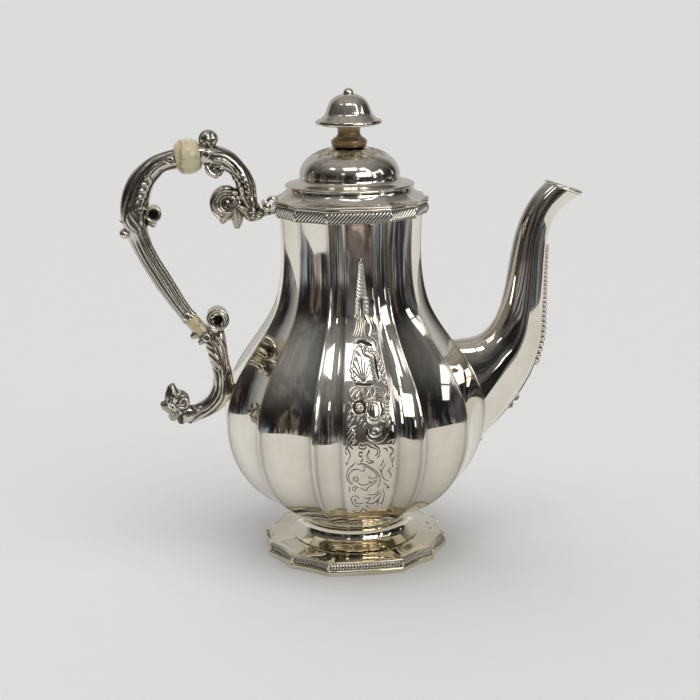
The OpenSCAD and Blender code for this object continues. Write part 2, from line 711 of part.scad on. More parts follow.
// stations of the grip from its lower end to its upper end: outer x and z, inner x and z, half width
grip_stations = stations_from_hinge([
    [-51, -62.8, -42.6, -59.4, grip_half - 0.4], [-56.5, -55.9, -47.2, -53.4, grip_half],
    [-61.8, -48.1, -51.8, -44.8, grip_half], [-67, -39.3, -56.7, -35.8, grip_half],
    [-72.1, -29.9, -61.7, -26.8, grip_half], [-77, -19, -65.6, -17.2, grip_half + 0.6],
    [-81, -7, -66.8, -6.4, leaf_half], [-80.9, 5.5, -65.4, 4.4, leaf_half],
    [-76.8, 16.6, -62.8, 12.6, leaf_half], [-69.8, 24.4, -59, 17.6, leaf_half - 0.4],
    [-61.8, 29.4, -55.4, 20.8, leaf_half - 1], [-51.8, 32.4, -50.6, 22.3, upper_socket_r]
]);
module handle_grip() {
    color(silver) difference() {
        union() {
            edge_bar(grip_stations, -1, 3, 16);
            socket(grip_low, lower_axis + 180, lower_socket_r);
            socket(grip_high, upper_axis + 180, upper_socket_r);
            curl(from_hinge([-63, -2.8]), 4, 4.6);
            curl(from_hinge([-80, -13.6]), 3.2, 4.6);
        }
        socket_bores(grip_low, lower_axis + 180);
        socket_bores(grip_high, upper_axis + 180);
    }
}

// rolled leaf end: a short barrel across the handle with rounded rims
module curl(p, r, half_y) {
    round_over = r * 0.4;
    translate([p[0], 0, p[1]]) rotate([90, 0, 0]) rotate_extrude($fn = 32) polygon([
        [0, -half_y], [r - round_over, -half_y], [r, -half_y + round_over],
        [r, half_y - round_over], [r - round_over, half_y], [0, half_y]
    ]);
}

// scroll that winds inwards from radius r0 to r1 about p, starting at angle from
function scroll_stations(p, r0, r1, thick0, thick1, from, sweep, half_y) = [
    for (i = [0 : 8]) let (t = i / 8, a = from + sweep * t, r = lerp(r0, r1, t), h = lerp(thick0, thick1, t) / 2)
    [p[0] + (r + h) * cos(a), p[1] + (r + h) * sin(a), p[0] + (r - h) * cos(a), p[1] + (r - h) * sin(a), half_y]
];

upper_mount_stations = stations_from_hinge([
    [-35, 35.4, -33.7, 24.6, 5.6], [-27.8, 34.2, -29, 21.2, mount_half], [-19.4, 31, -23, 20, mount_half],
    [-13.6, 25.6, -19, 17, mount_half], [-8.6, 18.6, -17, 12.4, mount_half], [-5.6, 10.6, -15.8, 6.8, mount_half],
    [-5, 3, -13.8, -1, mount_half], [-4, -2, -10.4, -8.4, mount_half], [-1.8, -3.4, -3.4, -7.8, mount_half - 0.4]
]);
neck_half = 6.2;
neck_embed = 0.3;
upper_scroll_p = from_hinge([-22.8, 1.4]);
module handle_upper_mount() {
    neck_x = -rim_r * (1 - scallop_depth) + neck_embed;
    neck_out_x = handle_x(-4.2);
    neck_low_z = body_top_z + 0.4;
    ball_p = along(upper_bead_p, 41, 15.2);
    color(silver) difference() {
        union() {
            edge_bar(upper_mount_stations, -1, 2, 14);
            socket(mount_high, upper_axis, mount_socket_r);
            translate([neck_out_x, -neck_half, neck_low_z])
                cube([neck_x - neck_out_x, 2 * neck_half, knuckle_foot_z - neck_low_z]);
            translate([ball_p[0], 0, ball_p[1]]) sphere(r = 4.6, $fn = 32);
            edge_bar(scroll_stations(upper_scroll_p, 8.2, 3, 5.6, 3.4, 50, 300, mount_half - 1), 1, 2, 12);
            curl(upper_scroll_p, 3.2, mount_half - 0.6);
        }
        socket_bores(mount_high, upper_axis);
        barrel(2 * body_knuckle_y, knuckle_r + knuckle_gap + 0.1);
    }
}

// the lower mount is soldered to the belly, its inner edge let into the wall by a little
seat_embed = 0.5;
function seat_x(z) = seat_embed - body_r(180, z);
function seat_station(s) = let (z = handle_z(s[3])) [handle_x(s[0]), handle_z(s[1]), seat_x(z) + s[2], z, s[4]];
lower_mount_stations = concat(
    stations_from_hinge([
        [-36.8, -73.4, -25.6, -68.2, 4.6], [-37.4, -81.4, -26.6, -78.6, 5], [-34.8, -88.5, -24.6, -89.2, 5]
    ]),
    [for (s = [
        [-33.6, -96, -3.4, -97.6, 5], [-34.2, -104, 0, -105, 5],
        [-36.6, -109.6, 0, -111.5, 5], [-41, -113.6, -5.8, -119.2, 4.8]
    ]) seat_station(s)],
    stations_from_hinge([[-46.4, -115.4, -43.8, -124.6, 4.6], [-51.4, -114.6, -51.8, -125.2, 4.4]])
);
lower_curl_p = from_hinge([-29.8, -64.2]);
terminal_p = from_hinge([-54, -113]);
module handle_lower_mount() {
    leaf_w = 5.2;
    leaf = [for (p = [
        [-51.4, -125], [-56.4, -126.2], [-58.9, -121.5], [-63.8, -116],
        [-61, -110], [-61.4, -105], [-57, -103.4], [-52.4, -107]
    ]) from_hinge(p)];
    color(silver) difference() {
        union() {
            edge_bar(lower_mount_stations, 1, 2, 14);
            socket(mount_low, lower_axis, lower_socket_r);
            edge_bar(scroll_stations(lower_curl_p, 4.4, 2.8, 4.2, 3, -60, 270, 4.2), 1, 2, 12);
            curl(terminal_p, 6.2, 5);
            translate([0, leaf_w / 2, 0]) rotate([90, 0, 0]) linear_extrude(leaf_w) polygon(leaf);
        }
        socket_bores(mount_low, lower_axis);
    }
}

// ivory piece with a spigot at each end, its own outline turned about the local Z
module insulator(p, angle, half_l, profile) {
    color(ivory) difference() {
        union() {
            aim(p, angle) rotate_extrude($fn = 64) polygon(concat(profile, [[0, half_l], [0, -half_l]]));
            aim(p, angle) cylinder(r = spigot_r, h = 2 * (half_l + spigot_l), center = true, $fn = 48);
        }
        cross_pin_hole(along(p, angle, half_l), angle);
        cross_pin_hole(along(p, angle, -half_l), angle + 180);
    }
}

module upper_insulator() {
    half_l = upper_bead_l / 2;
    end_r = upper_bead_d / 2 - 3.6;
    steps = 12;
    insulator(upper_bead_p, upper_axis, half_l, [for (i = [0 : steps]) let (t = 2 * i / steps - 1)
        [lerp(end_r, upper_bead_d / 2, sqrt(max(0, 1 - pow(abs(t), 2.6)))), half_l * t]]);
}

module lower_insulator() {
    half_l = lower_collar_l / 2;
    insulator(lower_collar_p, lower_axis, half_l, [[lower_collar_d / 2, -half_l], [lower_collar_d / 2, half_l]]);
}

module cross_pin(p, angle, socket_r) {
    at = along(p, angle, pin_inset);
    head_t = 0.9;
    translate([at[0], 0, at[1]]) rotate([90, 0, 0]) union() {
        cylinder(r = cross_pin_r, h = 2 * socket_r + head_t, center = true, $fn = 32);
        for (side = [-1, 1]) translate([0, 0, side * (socket_r + head_t / 2)])
            cylinder(d = cross_pin_head_d, h = head_t, center = true, $fn = 32);
    }
}
module handle_pins() {
    color(silver) {
        cross_pin(grip_low, lower_axis + 180, lower_socket_r);
        cross_pin(mount_low, lower_axis, lower_socket_r);
        cross_pin(grip_high, upper_axis + 180, upper_socket_r);
        cross_pin(mount_high, upper_axis, mount_socket_r);
    }
}

body_shell();
body_bottom();
rim_rope_band();
rim_wire();
foot_collar();
foot_dish();
foot_edge_wire();
foot_rope_band();
foot_base_band();
foot_corner_stops();
spout_shell();
spout_lip_wire();
spout_ornament();
lid_shoulder();
lid_dome();
lid_bezel();
lid_hinge_leaf();
hinge_body_knuckles();
hinge_pin();
knob_insulator();
knob_cap_plate();
knob_cap();
knob_finial();
knob_rod();
knob_washer();
knob_nut();
handle_upper_mount();
upper_insulator();
handle_grip();
lower_insulator();
handle_lower_mount();
handle_pins();
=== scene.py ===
"""The silver coffee pot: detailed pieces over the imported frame, with camera, stage and light.

Shapes are worked out in millimetres, in the frame of the solids, and add() turns them into metres.
Reliefs are drawn over the camera's picture, in its pixels.
"""

import json
import math

import bpy
import numpy as np
from mathutils import Matrix, Vector


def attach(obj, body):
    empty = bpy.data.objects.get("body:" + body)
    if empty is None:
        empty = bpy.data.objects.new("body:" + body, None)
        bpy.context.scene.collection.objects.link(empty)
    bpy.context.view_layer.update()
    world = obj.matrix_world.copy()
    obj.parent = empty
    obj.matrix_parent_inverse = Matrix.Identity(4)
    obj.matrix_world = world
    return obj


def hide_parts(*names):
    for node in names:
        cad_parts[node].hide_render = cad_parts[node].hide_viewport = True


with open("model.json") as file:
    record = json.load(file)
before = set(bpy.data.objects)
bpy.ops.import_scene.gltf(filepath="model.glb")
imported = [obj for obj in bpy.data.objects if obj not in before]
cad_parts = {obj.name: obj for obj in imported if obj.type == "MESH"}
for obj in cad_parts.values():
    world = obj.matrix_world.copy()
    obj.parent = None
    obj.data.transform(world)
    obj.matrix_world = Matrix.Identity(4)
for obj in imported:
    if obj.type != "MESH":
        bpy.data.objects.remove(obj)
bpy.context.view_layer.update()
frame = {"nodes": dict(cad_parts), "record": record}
MM = 0.001
PICTURE = 700  # the photograph's width and height in pixels

# ---------------------------------------------------------------- materials


def new_material(name):
    material = bpy.data.materials.new(name)
    material.use_nodes = True
    tree = material.node_tree
    return material, tree, tree.nodes["Principled BSDF"]


def node(tree, kind, **values):
    made = tree.nodes.new(kind)
    for key, value in values.items():
        if key in made.inputs:
            made.inputs[key].default_value = value
        else:
            setattr(made, key, value)
    return made


def feed(tree, socket, value):
    """Link a socket to an output, or set its number or colour."""
    if isinstance(value, bpy.types.NodeSocket):
        tree.links.new(value, socket)
    else:
        socket.default_value = value if socket.type == "VALUE" else (*value, 1)


def ramp(tree, source, stops):
    """A colour ramp through (place, colour) stops, where a single number is a grey."""
    made = tree.nodes.new("ShaderNodeValToRGB")
    elements = made.color_ramp.elements
    while len(elements) < len(stops):
        elements.new(0.5)
    for element, (at, color) in zip(elements, stops):
        element.position = at
        element.color = (*color, 1) if isinstance(color, tuple) else (color, color, color, 1)
    tree.links.new(source, made.inputs["Fac"])
    return made.outputs["Color"]


def mix(tree, factor, a, b, kind="MIX"):
    made = tree.nodes.new("ShaderNodeMix")
    made.data_type, made.blend_type = "RGBA", kind
    for index, value in ((0, factor), (6, a), (7, b)):
        feed(tree, made.inputs[index], value)
    return made.outputs[2]


def math_node(tree, kind, a, b):
    made = tree.nodes.new("ShaderNodeMath")
    made.operation = kind
    feed(tree, made.inputs[0], a)
    feed(tree, made.inputs[1], b)
    return made.outputs[0]


def noise(tree, coords, scale, detail, rough, stretch=(1, 1, 1)):
    mapping = node(tree, "ShaderNodeMapping")
    mapping.inputs["Scale"].default_value = stretch
    tree.links.new(coords, mapping.inputs["Vector"])
    made = node(tree, "ShaderNodeTexNoise", Scale=scale, Detail=detail, Roughness=rough)
    tree.links.new(mapping.outputs[0], made.inputs["Vector"])
    return made.outputs["Fac"]


def dress(tree, shader, color, dark, height, strength, distance):
    """Colour and bump on a shader. A mesh attribute, from 0 to 1, brings in the dark colour: painted shade, and
    tarnish and stains.
    """
    painted_shade_and_discolour = node(tree, "ShaderNodeAttribute", attribute_name="painted_shade_and_discolour").outputs["Fac"]
    tree.links.new(mix(tree, painted_shade_and_discolour, color, dark), shader.inputs["Base Color"])
    bump = node(tree, "ShaderNodeBump", Strength=strength, Distance=distance)
    tree.links.new(height, bump.inputs["Height"])
    tree.links.new(bump.outputs[0], shader.inputs["Normal"])
    return painted_shade_and_discolour


def silver(name, clean=(0.945, 0.90, 0.81), tarnish=(0.52, 0.43, 0.30), amount=0.68, rough=0.04,
           dark=(0.055, 0.045, 0.035), dent=0.05):
    """Polished silver with warm tarnish in clouds, fine wipe marks and soft dents, dark and dull where the mesh
    attribute paints shade and tarnish.
    """
    material, tree, shader = new_material(name)
    coords = node(tree, "ShaderNodeTexCoord").outputs["Object"]
    clouds = noise(tree, coords, 22, 5, 0.6)
    specks = noise(tree, coords, 420, 4, 0.7)
    wipes = noise(tree, coords, 900, 2, 0.5, (1, 1, 0.12))
    broad = noise(tree, coords, 7, 3, 0.5, (1, 1, 0.5))
    dents = noise(tree, coords, 34, 2, 0.5)
    cover = mix(tree, 0.5, ramp(tree, clouds, [(0.42, 0), (0.72, amount)]),
                ramp(tree, broad, [(0.4, 0), (0.65, amount)]))
    color = mix(tree, cover, clean, tarnish)
    color = mix(tree, ramp(tree, specks, [(0.62, 0), (0.80, 0.35)]), color, tarnish)
    height = math_node(tree, "ADD", math_node(tree, "MULTIPLY", dents, dent),
                       math_node(tree, "MULTIPLY", wipes, 0.0012))
    painted_shade_and_discolour = dress(tree, shader, color, dark, height, 1.0, 0.001)
    shader.inputs["Metallic"].default_value = 1.0
    spread = math_node(tree, "ADD", math_node(tree, "MULTIPLY", clouds, 0.07), rough - 0.03)
    worn = math_node(tree, "MULTIPLY", painted_shade_and_discolour, 0.35)
    tree.links.new(math_node(tree, "ADD", spread, worn), shader.inputs["Roughness"])
    return material


def ivory(name, light, deep, streak):
    """Polished ivory: fine growth lines, darker streaks and a soft gloss."""
    material, tree, shader = new_material(name)
    coords = node(tree, "ShaderNodeTexCoord").outputs["Object"]
    lines = noise(tree, coords, 160, 3, 0.6, (1, 1, 6))
    clouds = noise(tree, coords, 55, 4, 0.6)
    stains = noise(tree, coords, 85, 3, 0.7, (1, 0.6, 0.5))
    color = mix(tree, ramp(tree, clouds, [(0.35, 0), (0.7, 0.8)]), light, deep)
    color = mix(tree, ramp(tree, lines, [(0.55, 0), (0.75, 0.5)]), color, streak)
    color = mix(tree, ramp(tree, stains, [(0.60, 0), (0.68, 0.75)]), color, streak)
    # the mesh attribute brings in dark brown: stains, and painted shade on the knob's collar
    dress(tree, shader, color, (0.05, 0.03, 0.015), lines, 0.35, 0.0002)
    for socket, value in (("Roughness", 0.16), ("Subsurface Weight", 0.12), ("Coat Weight", 0.5),
                          ("Subsurface Radius", (0.004, 0.0025, 0.0012)), ("Coat Roughness", 0.05)):
        shader.inputs[socket].default_value = value
    return material


SILVER = silver("polished_silver")
FOOT = silver("foot_silver", clean=(0.88, 0.82, 0.69), tarnish=(0.46, 0.37, 0.19), amount=0.6)
ROPE = silver("rope_silver", clean=(0.92, 0.88, 0.79), rough=0.12, amount=0.3, dark=(0.02, 0.016, 0.012))
LID = silver("lid_silver", clean=(0.83, 0.78, 0.69), rough=0.11)
CAST = silver("cast_silver", clean=(0.76, 0.71, 0.62), tarnish=(0.36, 0.30, 0.21), amount=0.75, rough=0.09,
              dark=(0.018, 0.014, 0.01), dent=0.1)
IVORY = ivory("ivory", (0.78, 0.70, 0.47), (0.64, 0.53, 0.29), (0.26, 0.19, 0.10))
AMBER = ivory("stained_ivory", (0.36, 0.225, 0.075), (0.17, 0.10, 0.03), (0.06, 0.035, 0.015))

# ---------------------------------------------------------------- camera, matched to the photograph
TURN = math.radians(-6.54)  # how far the pot is turned from square to the camera
PITCH, PAN, ROLL = math.radians(14.28), math.radians(-0.1), math.radians(0.95)
EYE = (0, -0.8083, 0.3252)  # metres, before the turn
LENS, SENSOR, FAR_CLIP = 73.64, 36, 200
forward = Vector((math.sin(PAN) * math.cos(PITCH), math.cos(PAN) * math.cos(PITCH), -math.sin(PITCH)))
level = Vector((math.cos(PAN), -math.sin(PAN), 0))
above = level.cross(forward)
right = math.cos(ROLL) * level - math.sin(ROLL) * above
up = math.sin(ROLL) * level + math.cos(ROLL) * above
camera = bpy.data.objects.new("camera", bpy.data.cameras.new("camera"))
bpy.context.scene.collection.objects.link(camera)
axes = Matrix((right, up, -forward)).transposed().to_4x4()
camera.matrix_world = Matrix.Rotation(TURN, 4, "Z") @ Matrix.Translation(EYE) @ axes
camera.data.lens, camera.data.sensor_width, camera.data.clip_end = LENS, SENSOR, FAR_CLIP
bpy.context.scene.camera = camera
bpy.context.view_layer.update()

# ---------------------------------------------------------------- meshes


def unit(x):
    return np.clip(x, 0, 1)


def circle(count):
    return np.linspace(0, 2 * np.pi, count, endpoint=False)


def add(name, points, faces, material, replaces=None, body="pot", painted_shade_and_discolour=None, sharp=None):
    """A piece from points in millimetres, riding on a body."""
    mesh = bpy.data.meshes.new(name)
    mesh.from_pydata((np.asarray(points, float) * MM).tolist(), [], [list(map(int, f)) for f in faces])
    mesh.polygons.foreach_set("use_smooth", [True] * len(mesh.polygons))
    layer = mesh.attributes.new("painted_shade_and_discolour", "FLOAT", "POINT")
    layer.data.foreach_set("value", np.zeros(len(points)) if painted_shade_and_discolour is None else unit(painted_shade_and_discolour))
    if sharp:
        mesh.set_sharp_from_angle(angle=math.radians(sharp))
    mesh.materials.append(material)
    mesh.update()
    made = bpy.data.objects.new(name, mesh)
    bpy.context.scene.collection.objects.link(made)
    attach(made, body)
    if replaces:
        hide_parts(replaces)


def grid(rows, cols, closed=True, start=0):
    """Quads over rows of points, each a ring of cols. The last row joins the first where it is closed."""
    i, j = np.meshgrid(np.arange(rows if closed else rows - 1), np.arange(cols), indexing="ij")
    i2, j2 = (i + 1) % rows, (j + 1) % cols
    return np.stack([i * cols + j, i * cols + j2, i2 * cols + j2, i2 * cols + j], -1).reshape(-1, 4) + start


def lathe(name, profile, turns, material, replaces, body="pot", sharp=35, painted_shade_and_discolour=None):
    """A turned piece. profile is [r, z] round a closed section, its outside going up."""
    profile = np.asarray(profile, float)
    a = circle(turns)
    rings = np.stack([profile[:, None, 0] * np.cos(a), profile[:, None, 0] * np.sin(a),
                      np.repeat(profile[:, 1:2], turns, 1)], -1)
    add(name, rings.reshape(-1, 3), grid(len(profile), turns), material, replaces, body,
        painted_shade_and_discolour=None if painted_shade_and_discolour is None else np.repeat(painted_shade_and_discolour, turns), sharp=sharp)


def rounded(points, steps=6):
    """Catmull-Rom curve through points, ends kept."""
    p = np.asarray(points, float)
    ext = np.vstack([2 * p[0] - p[1], p, 2 * p[-1] - p[-2]])
    out = []
    t = np.linspace(0, 1, steps, endpoint=False)[:, None]
    for a, b, c, d in zip(ext, ext[1:], ext[2:], ext[3:]):
        out.append(0.5 * (2 * b + (c - a) * t + (2 * a - 5 * b + 4 * c - d) * t ** 2
                          + (3 * b - a - 3 * c + d) * t ** 3))
    return np.vstack(out + [p[-1:]])


def hermite(t, a, a_slope, b, b_slope):
    """From a to b as t goes from 0 to 1, with a slope at each end."""
    return (a * (1 + 2 * t) * (1 - t) ** 2 + a_slope * t * (1 - t) ** 2
            + b * t * t * (3 - 2 * t) + b_slope * t * t * (t - 1))


# ---------------------------------------------------------------- plan and profile, as in the solids
WIDE, STRIP = 23.5, 10.8  # half angles of the front panel and of its engraved strip
NARROW = (90 - WIDE) / 5  # half angle of a plain flute
SIDE = (WIDE - STRIP) / 2
FLUTE, SIDE_D, STRIP_D, SOFT = 0.047, 0.03, 0.015, 0.012  # depths as shares of the radius
SCALLOP, WIDE_SCALLOP = 0.052, 1.25
FLUTE_SOFT, BAND_SOFT, BASE_SOFT = 0.75, 0.8, 0.7  # degrees over which the cusps are rounded
WALL = 1.2
FOOT_TOP, BODY_TOP = 25.0, 200.0
PANEL_LOW, PANEL_HIGH = 26.5, 199.8
# height, radius over the ridges and slope, from the belly up
STATIONS = [(83, 77, 0), (120, 63, -0.71), (150, 44.4, -0.32), (182, 40.4, 0), (200, 41.2, 0.08)]


def quarters(*angles):
    """Angles from the X axis, repeated in all four quarters."""
    return np.array([half + sign * a for half in (0, 180) for sign in (1, -1) for a in angles])


CUSPS = quarters(NARROW, 3 * NARROW, 90 - WIDE)
RIDGES = np.concatenate([CUSPS, quarters(90 - STRIP)])


def nearest(a, marks):
    """Degrees from each angle to the nearest mark."""
    return np.abs((a[:, None] - marks + 180) % 360 - 180).min(1)


def fold(a):
    """Angles folded into the first quarter."""
    b = np.abs((np.asarray(a, float) % 360 + 540) % 360 - 180)
    return np.where(b > 90, 180 - b, b)


def bowl(t):
    return 1 - t * t


def narrow_t(b):
    return (b - 2 * NARROW * np.round(b / (2 * NARROW))) / NARROW


def flute_sharp(a):
    b = fold(a)
    c = 90 - b
    side = SOFT * (WIDE - c) / (2 * SIDE) + SIDE_D * bowl((c - WIDE + SIDE) / SIDE)
    return np.where(c > WIDE, FLUTE * bowl(narrow_t(b)),
                    np.where(c > STRIP, side, SOFT + STRIP_D * bowl(c / STRIP)))


def scallop_sharp(a):
    b = fold(a)
    c = 90 - b
    return SCALLOP * np.where(c > WIDE, bowl(narrow_t(b)), WIDE_SCALLOP * bowl(c / WIDE))


def softened(shape, a, width):
    """The plan with its cusps rounded over width degrees."""
    taps = np.linspace(-1, 1, 7) * width
    weights = 1 - 0.8 * np.abs(taps / width)
    return sum(w * shape(np.asarray(a) + t) for w, t in zip(weights, taps)) / weights.sum()


def ease(z, z0, r0, s0, z1, r1, s1):
    h = z1 - z0
    return hermite((z - z0) / h, r0, s0 * h, r1, s1 * h)


def ridge_r(z):
    """The body's radius over its ridges: a bowl below the belly, and a smooth curve above."""
    z = np.asarray(z, float)
    belly_z, belly_r = STATIONS[0][:2]
    low = belly_r * (1 - (np.clip(belly_z - z, 0, 64) / 64.5) ** 2.1) ** (1 / 2.1)
    spans = [ease(z, *a, *b) for a, b in zip(STATIONS, STATIONS[1:])]
    return np.select([z < s[0] for s in STATIONS[:-1]], [low] + spans[:-1], spans[-1])


def ridge_slope(z):
    return (ridge_r(z + 0.1) - ridge_r(z - 0.1)) / 0.2


def fluted_r(z, a):
    return ridge_r(z) * (1 - softened(flute_sharp, a, FLUTE_SOFT))


def polar(r, a, z):
    """Points from radii, angles in degrees and heights, any of them an array."""
    r, a, z = np.broadcast_arrays(r, a, z)
    a = np.radians(a)
    return np.stack([r * np.cos(a), r * np.sin(a), z], -1)


def plan_angles(fine):
    """Angles round the pot, closer together at each ridge."""
    a = np.arange(0, 360, fine)
    close = (RIDGES[:, None] + np.linspace(-1.4, 1.4, 9)).ravel()
    return np.sort(np.concatenate([a[nearest(a, RIDGES) > 1.5], close]) % 360)


# ---------------------------------------------------------------- body
BODY_ROWS, PANEL_SINK = 150, 0.65
body_a = plan_angles(1.25)
length_z = np.linspace(FOOT_TOP, BODY_TOP, 1500)
arc = np.concatenate([[0], np.cumsum(np.hypot(np.diff(ridge_r(length_z)), np.diff(length_z)))])
body_z = np.interp(np.linspace(0, arc[-1], BODY_ROWS), arc, length_z)
flute_a = softened(flute_sharp, body_a, FLUTE_SOFT)
outer_r = ridge_r(body_z)[:, None] * (1 - flute_a)[None]
inner_z = body_z[[*range(0, BODY_ROWS - 1, 4), BODY_ROWS - 1]]
inner_r = (ridge_r(inner_z) - WALL * np.sqrt(1 + ridge_slope(inner_z) ** 2))[:, None] * (1 - flute_a)[None]
# the body sinks a little where an engraved panel covers it
in_strip = (90 - fold(body_a) < STRIP - 1)[None]
under_panel = in_strip & ((body_z > PANEL_LOW + 3) & (body_z < PANEL_HIGH - 3))[:, None]
outside = polar(outer_r - PANEL_SINK * under_panel, body_a[None], body_z[:, None])
inside = polar(inner_r, body_a[None], inner_z[:, None])[::-1]
rings = np.concatenate([outside, inside])
# painted shade: a thin dark line along each ridge, and broader painted shade beside the ridges below the belly
off = nearest(body_a, RIDGES)
low = unit((105 - np.concatenate([body_z, np.zeros(len(rings) - len(body_z))])) / 40)[:, None]
shade = 0.3 * np.exp(-((off - 1.2) / 0.7) ** 2)
shade = shade + (0.10 + 0.06 * low) * np.exp(-((off - 2.5) / (1.6 + 2.4 * low)) ** 2)
add("body", rings.reshape(-1, 3), grid(len(rings), len(body_a)), SILVER, "body_shell",
    painted_shade_and_discolour=shade.reshape(-1), sharp=60)


# ---------------------------------------------------------------- scalloped bands
def outline(radius, a, width, scale=1.0):
    return radius * (1 - scale * softened(scallop_sharp, a, width))


def band(name, section, a, width, material, replaces, body="pot", sharp=40):
    """A ring whose section is [radius, z, share of the scallop], closed, its outside going up."""
    rings = [polar(outline(r, a, width, k), a, z) for r, z, k in section]
    add(name, np.concatenate(rings), grid(len(section), len(a)), material, replaces, body, sharp=sharp)


def dense_angles(radius, pitch):
    """Angles evenly spaced along the scalloped outline, their places along it and its length."""
    a = np.linspace(0, 360, 4001)
    p = polar(outline(radius, a, BAND_SOFT), a, 0)
    s = np.concatenate([[0], np.cumsum(np.linalg.norm(np.diff(p, axis=0), axis=1))])
    at = np.linspace(0, s[-1], int(s[-1] / pitch), endpoint=False)
    return np.interp(at, s, a), at, s[-1]


def rope(name, replaces, radius, bore, z0, z1, pitch, slant, depth, bulge, rows, edge, strands=1, step=0.17):
    """Band with slanted strands cut between two plain edges. Each of the strands' rows leans the other way."""
    a, s, total = dense_angles(radius, step)
    count = round(total / pitch)
    t = np.linspace(0, 1, rows)
    z = z0 + edge + (z1 - z0 - 2 * edge) * t
    row = np.minimum((t * strands).astype(int), strands - 1)
    within = t * strands - row
    lean = np.where(row % 2 == 0, -1, 1)
    phase = s[None] * count / total + (lean * (within - 0.5) * (z1 - z0) / strands * slant / pitch)[:, None]
    ridge = unit(np.abs(np.sin(np.pi * phase)) * 1.25 - 0.25) ** 0.6
    dome_row = np.sqrt(unit(1 - (2 * within - 1) ** 4))[:, None]
    height = ridge * (0.3 + 0.7 * dome_row)
    # a plain knot covers the strands at each cusp
    knot = unit(1.5 - nearest(a, CUSPS) * math.radians(radius) / 0.75)[None]
    height = np.maximum(height * (1 - knot), knot * (0.55 + 0.6 * dome_row))
    base = outline(radius, a, BAND_SOFT)[None] - bulge * ((2 * t - 1) ** 2)[:, None] - depth
    flat = outline(radius - bulge - depth, a, BAND_SOFT)
    plain = np.zeros((1, len(a)))
    rings = [polar(flat, a, z0), *polar(base + depth * height, a[None], z[:, None]), polar(flat, a, z1),
             polar(bore, a, z1), polar(bore, a, z0)]
    # painted shade and tarnish in the hollows between the strands
    painted_shade_and_discolour = np.concatenate([plain, unit(3 * (0.78 - height)), plain, plain, plain])
    add(name, np.concatenate(rings), grid(len(rings), len(a)), ROPE, replaces, painted_shade_and_discolour=painted_shade_and_discolour.reshape(-1))


RIM_R, MOUTH_R, STRAND_TOP, RIM_TOP = 44.8, 37.4, 206.6, 207.9
rope("rim_rope", "rim_rope_band", RIM_R, MOUTH_R, 200, STRAND_TOP, pitch=2.1, slant=0.85, depth=0.7, bulge=0.5,
     rows=26, edge=0.55)
edge_a = plan_angles(1.5)
band("rim_top_wire", [(MOUTH_R, STRAND_TOP, 0), (RIM_R - 0.6, STRAND_TOP, 1), (RIM_R - 0.1, 206.8, 1),
                      (RIM_R, 207.25, 1), (RIM_R - 0.15, 207.65, 1), (RIM_R - 0.6, RIM_TOP, 1),
                      (MOUTH_R + 0.4, RIM_TOP, 0), (MOUTH_R, 207.6, 0)], edge_a, BAND_SOFT, SILVER, "rim_wire")


# ---------------------------------------------------------------- relief drawn over the picture
def picture(points):
    """Where points in millimetres fall in the camera's picture, in pixels from its top left."""
    d = np.asarray(points, float) * MM - np.array(camera.matrix_world.translation)
    x, y, z = (d @ np.array(camera.matrix_world.to_3x3())[:, i] for i in range(3))
    f = camera.data.lens / camera.data.sensor_width * PICTURE
    return np.stack([PICTURE / 2 - f * x / z, PICTURE / 2 + f * y / z], -1)


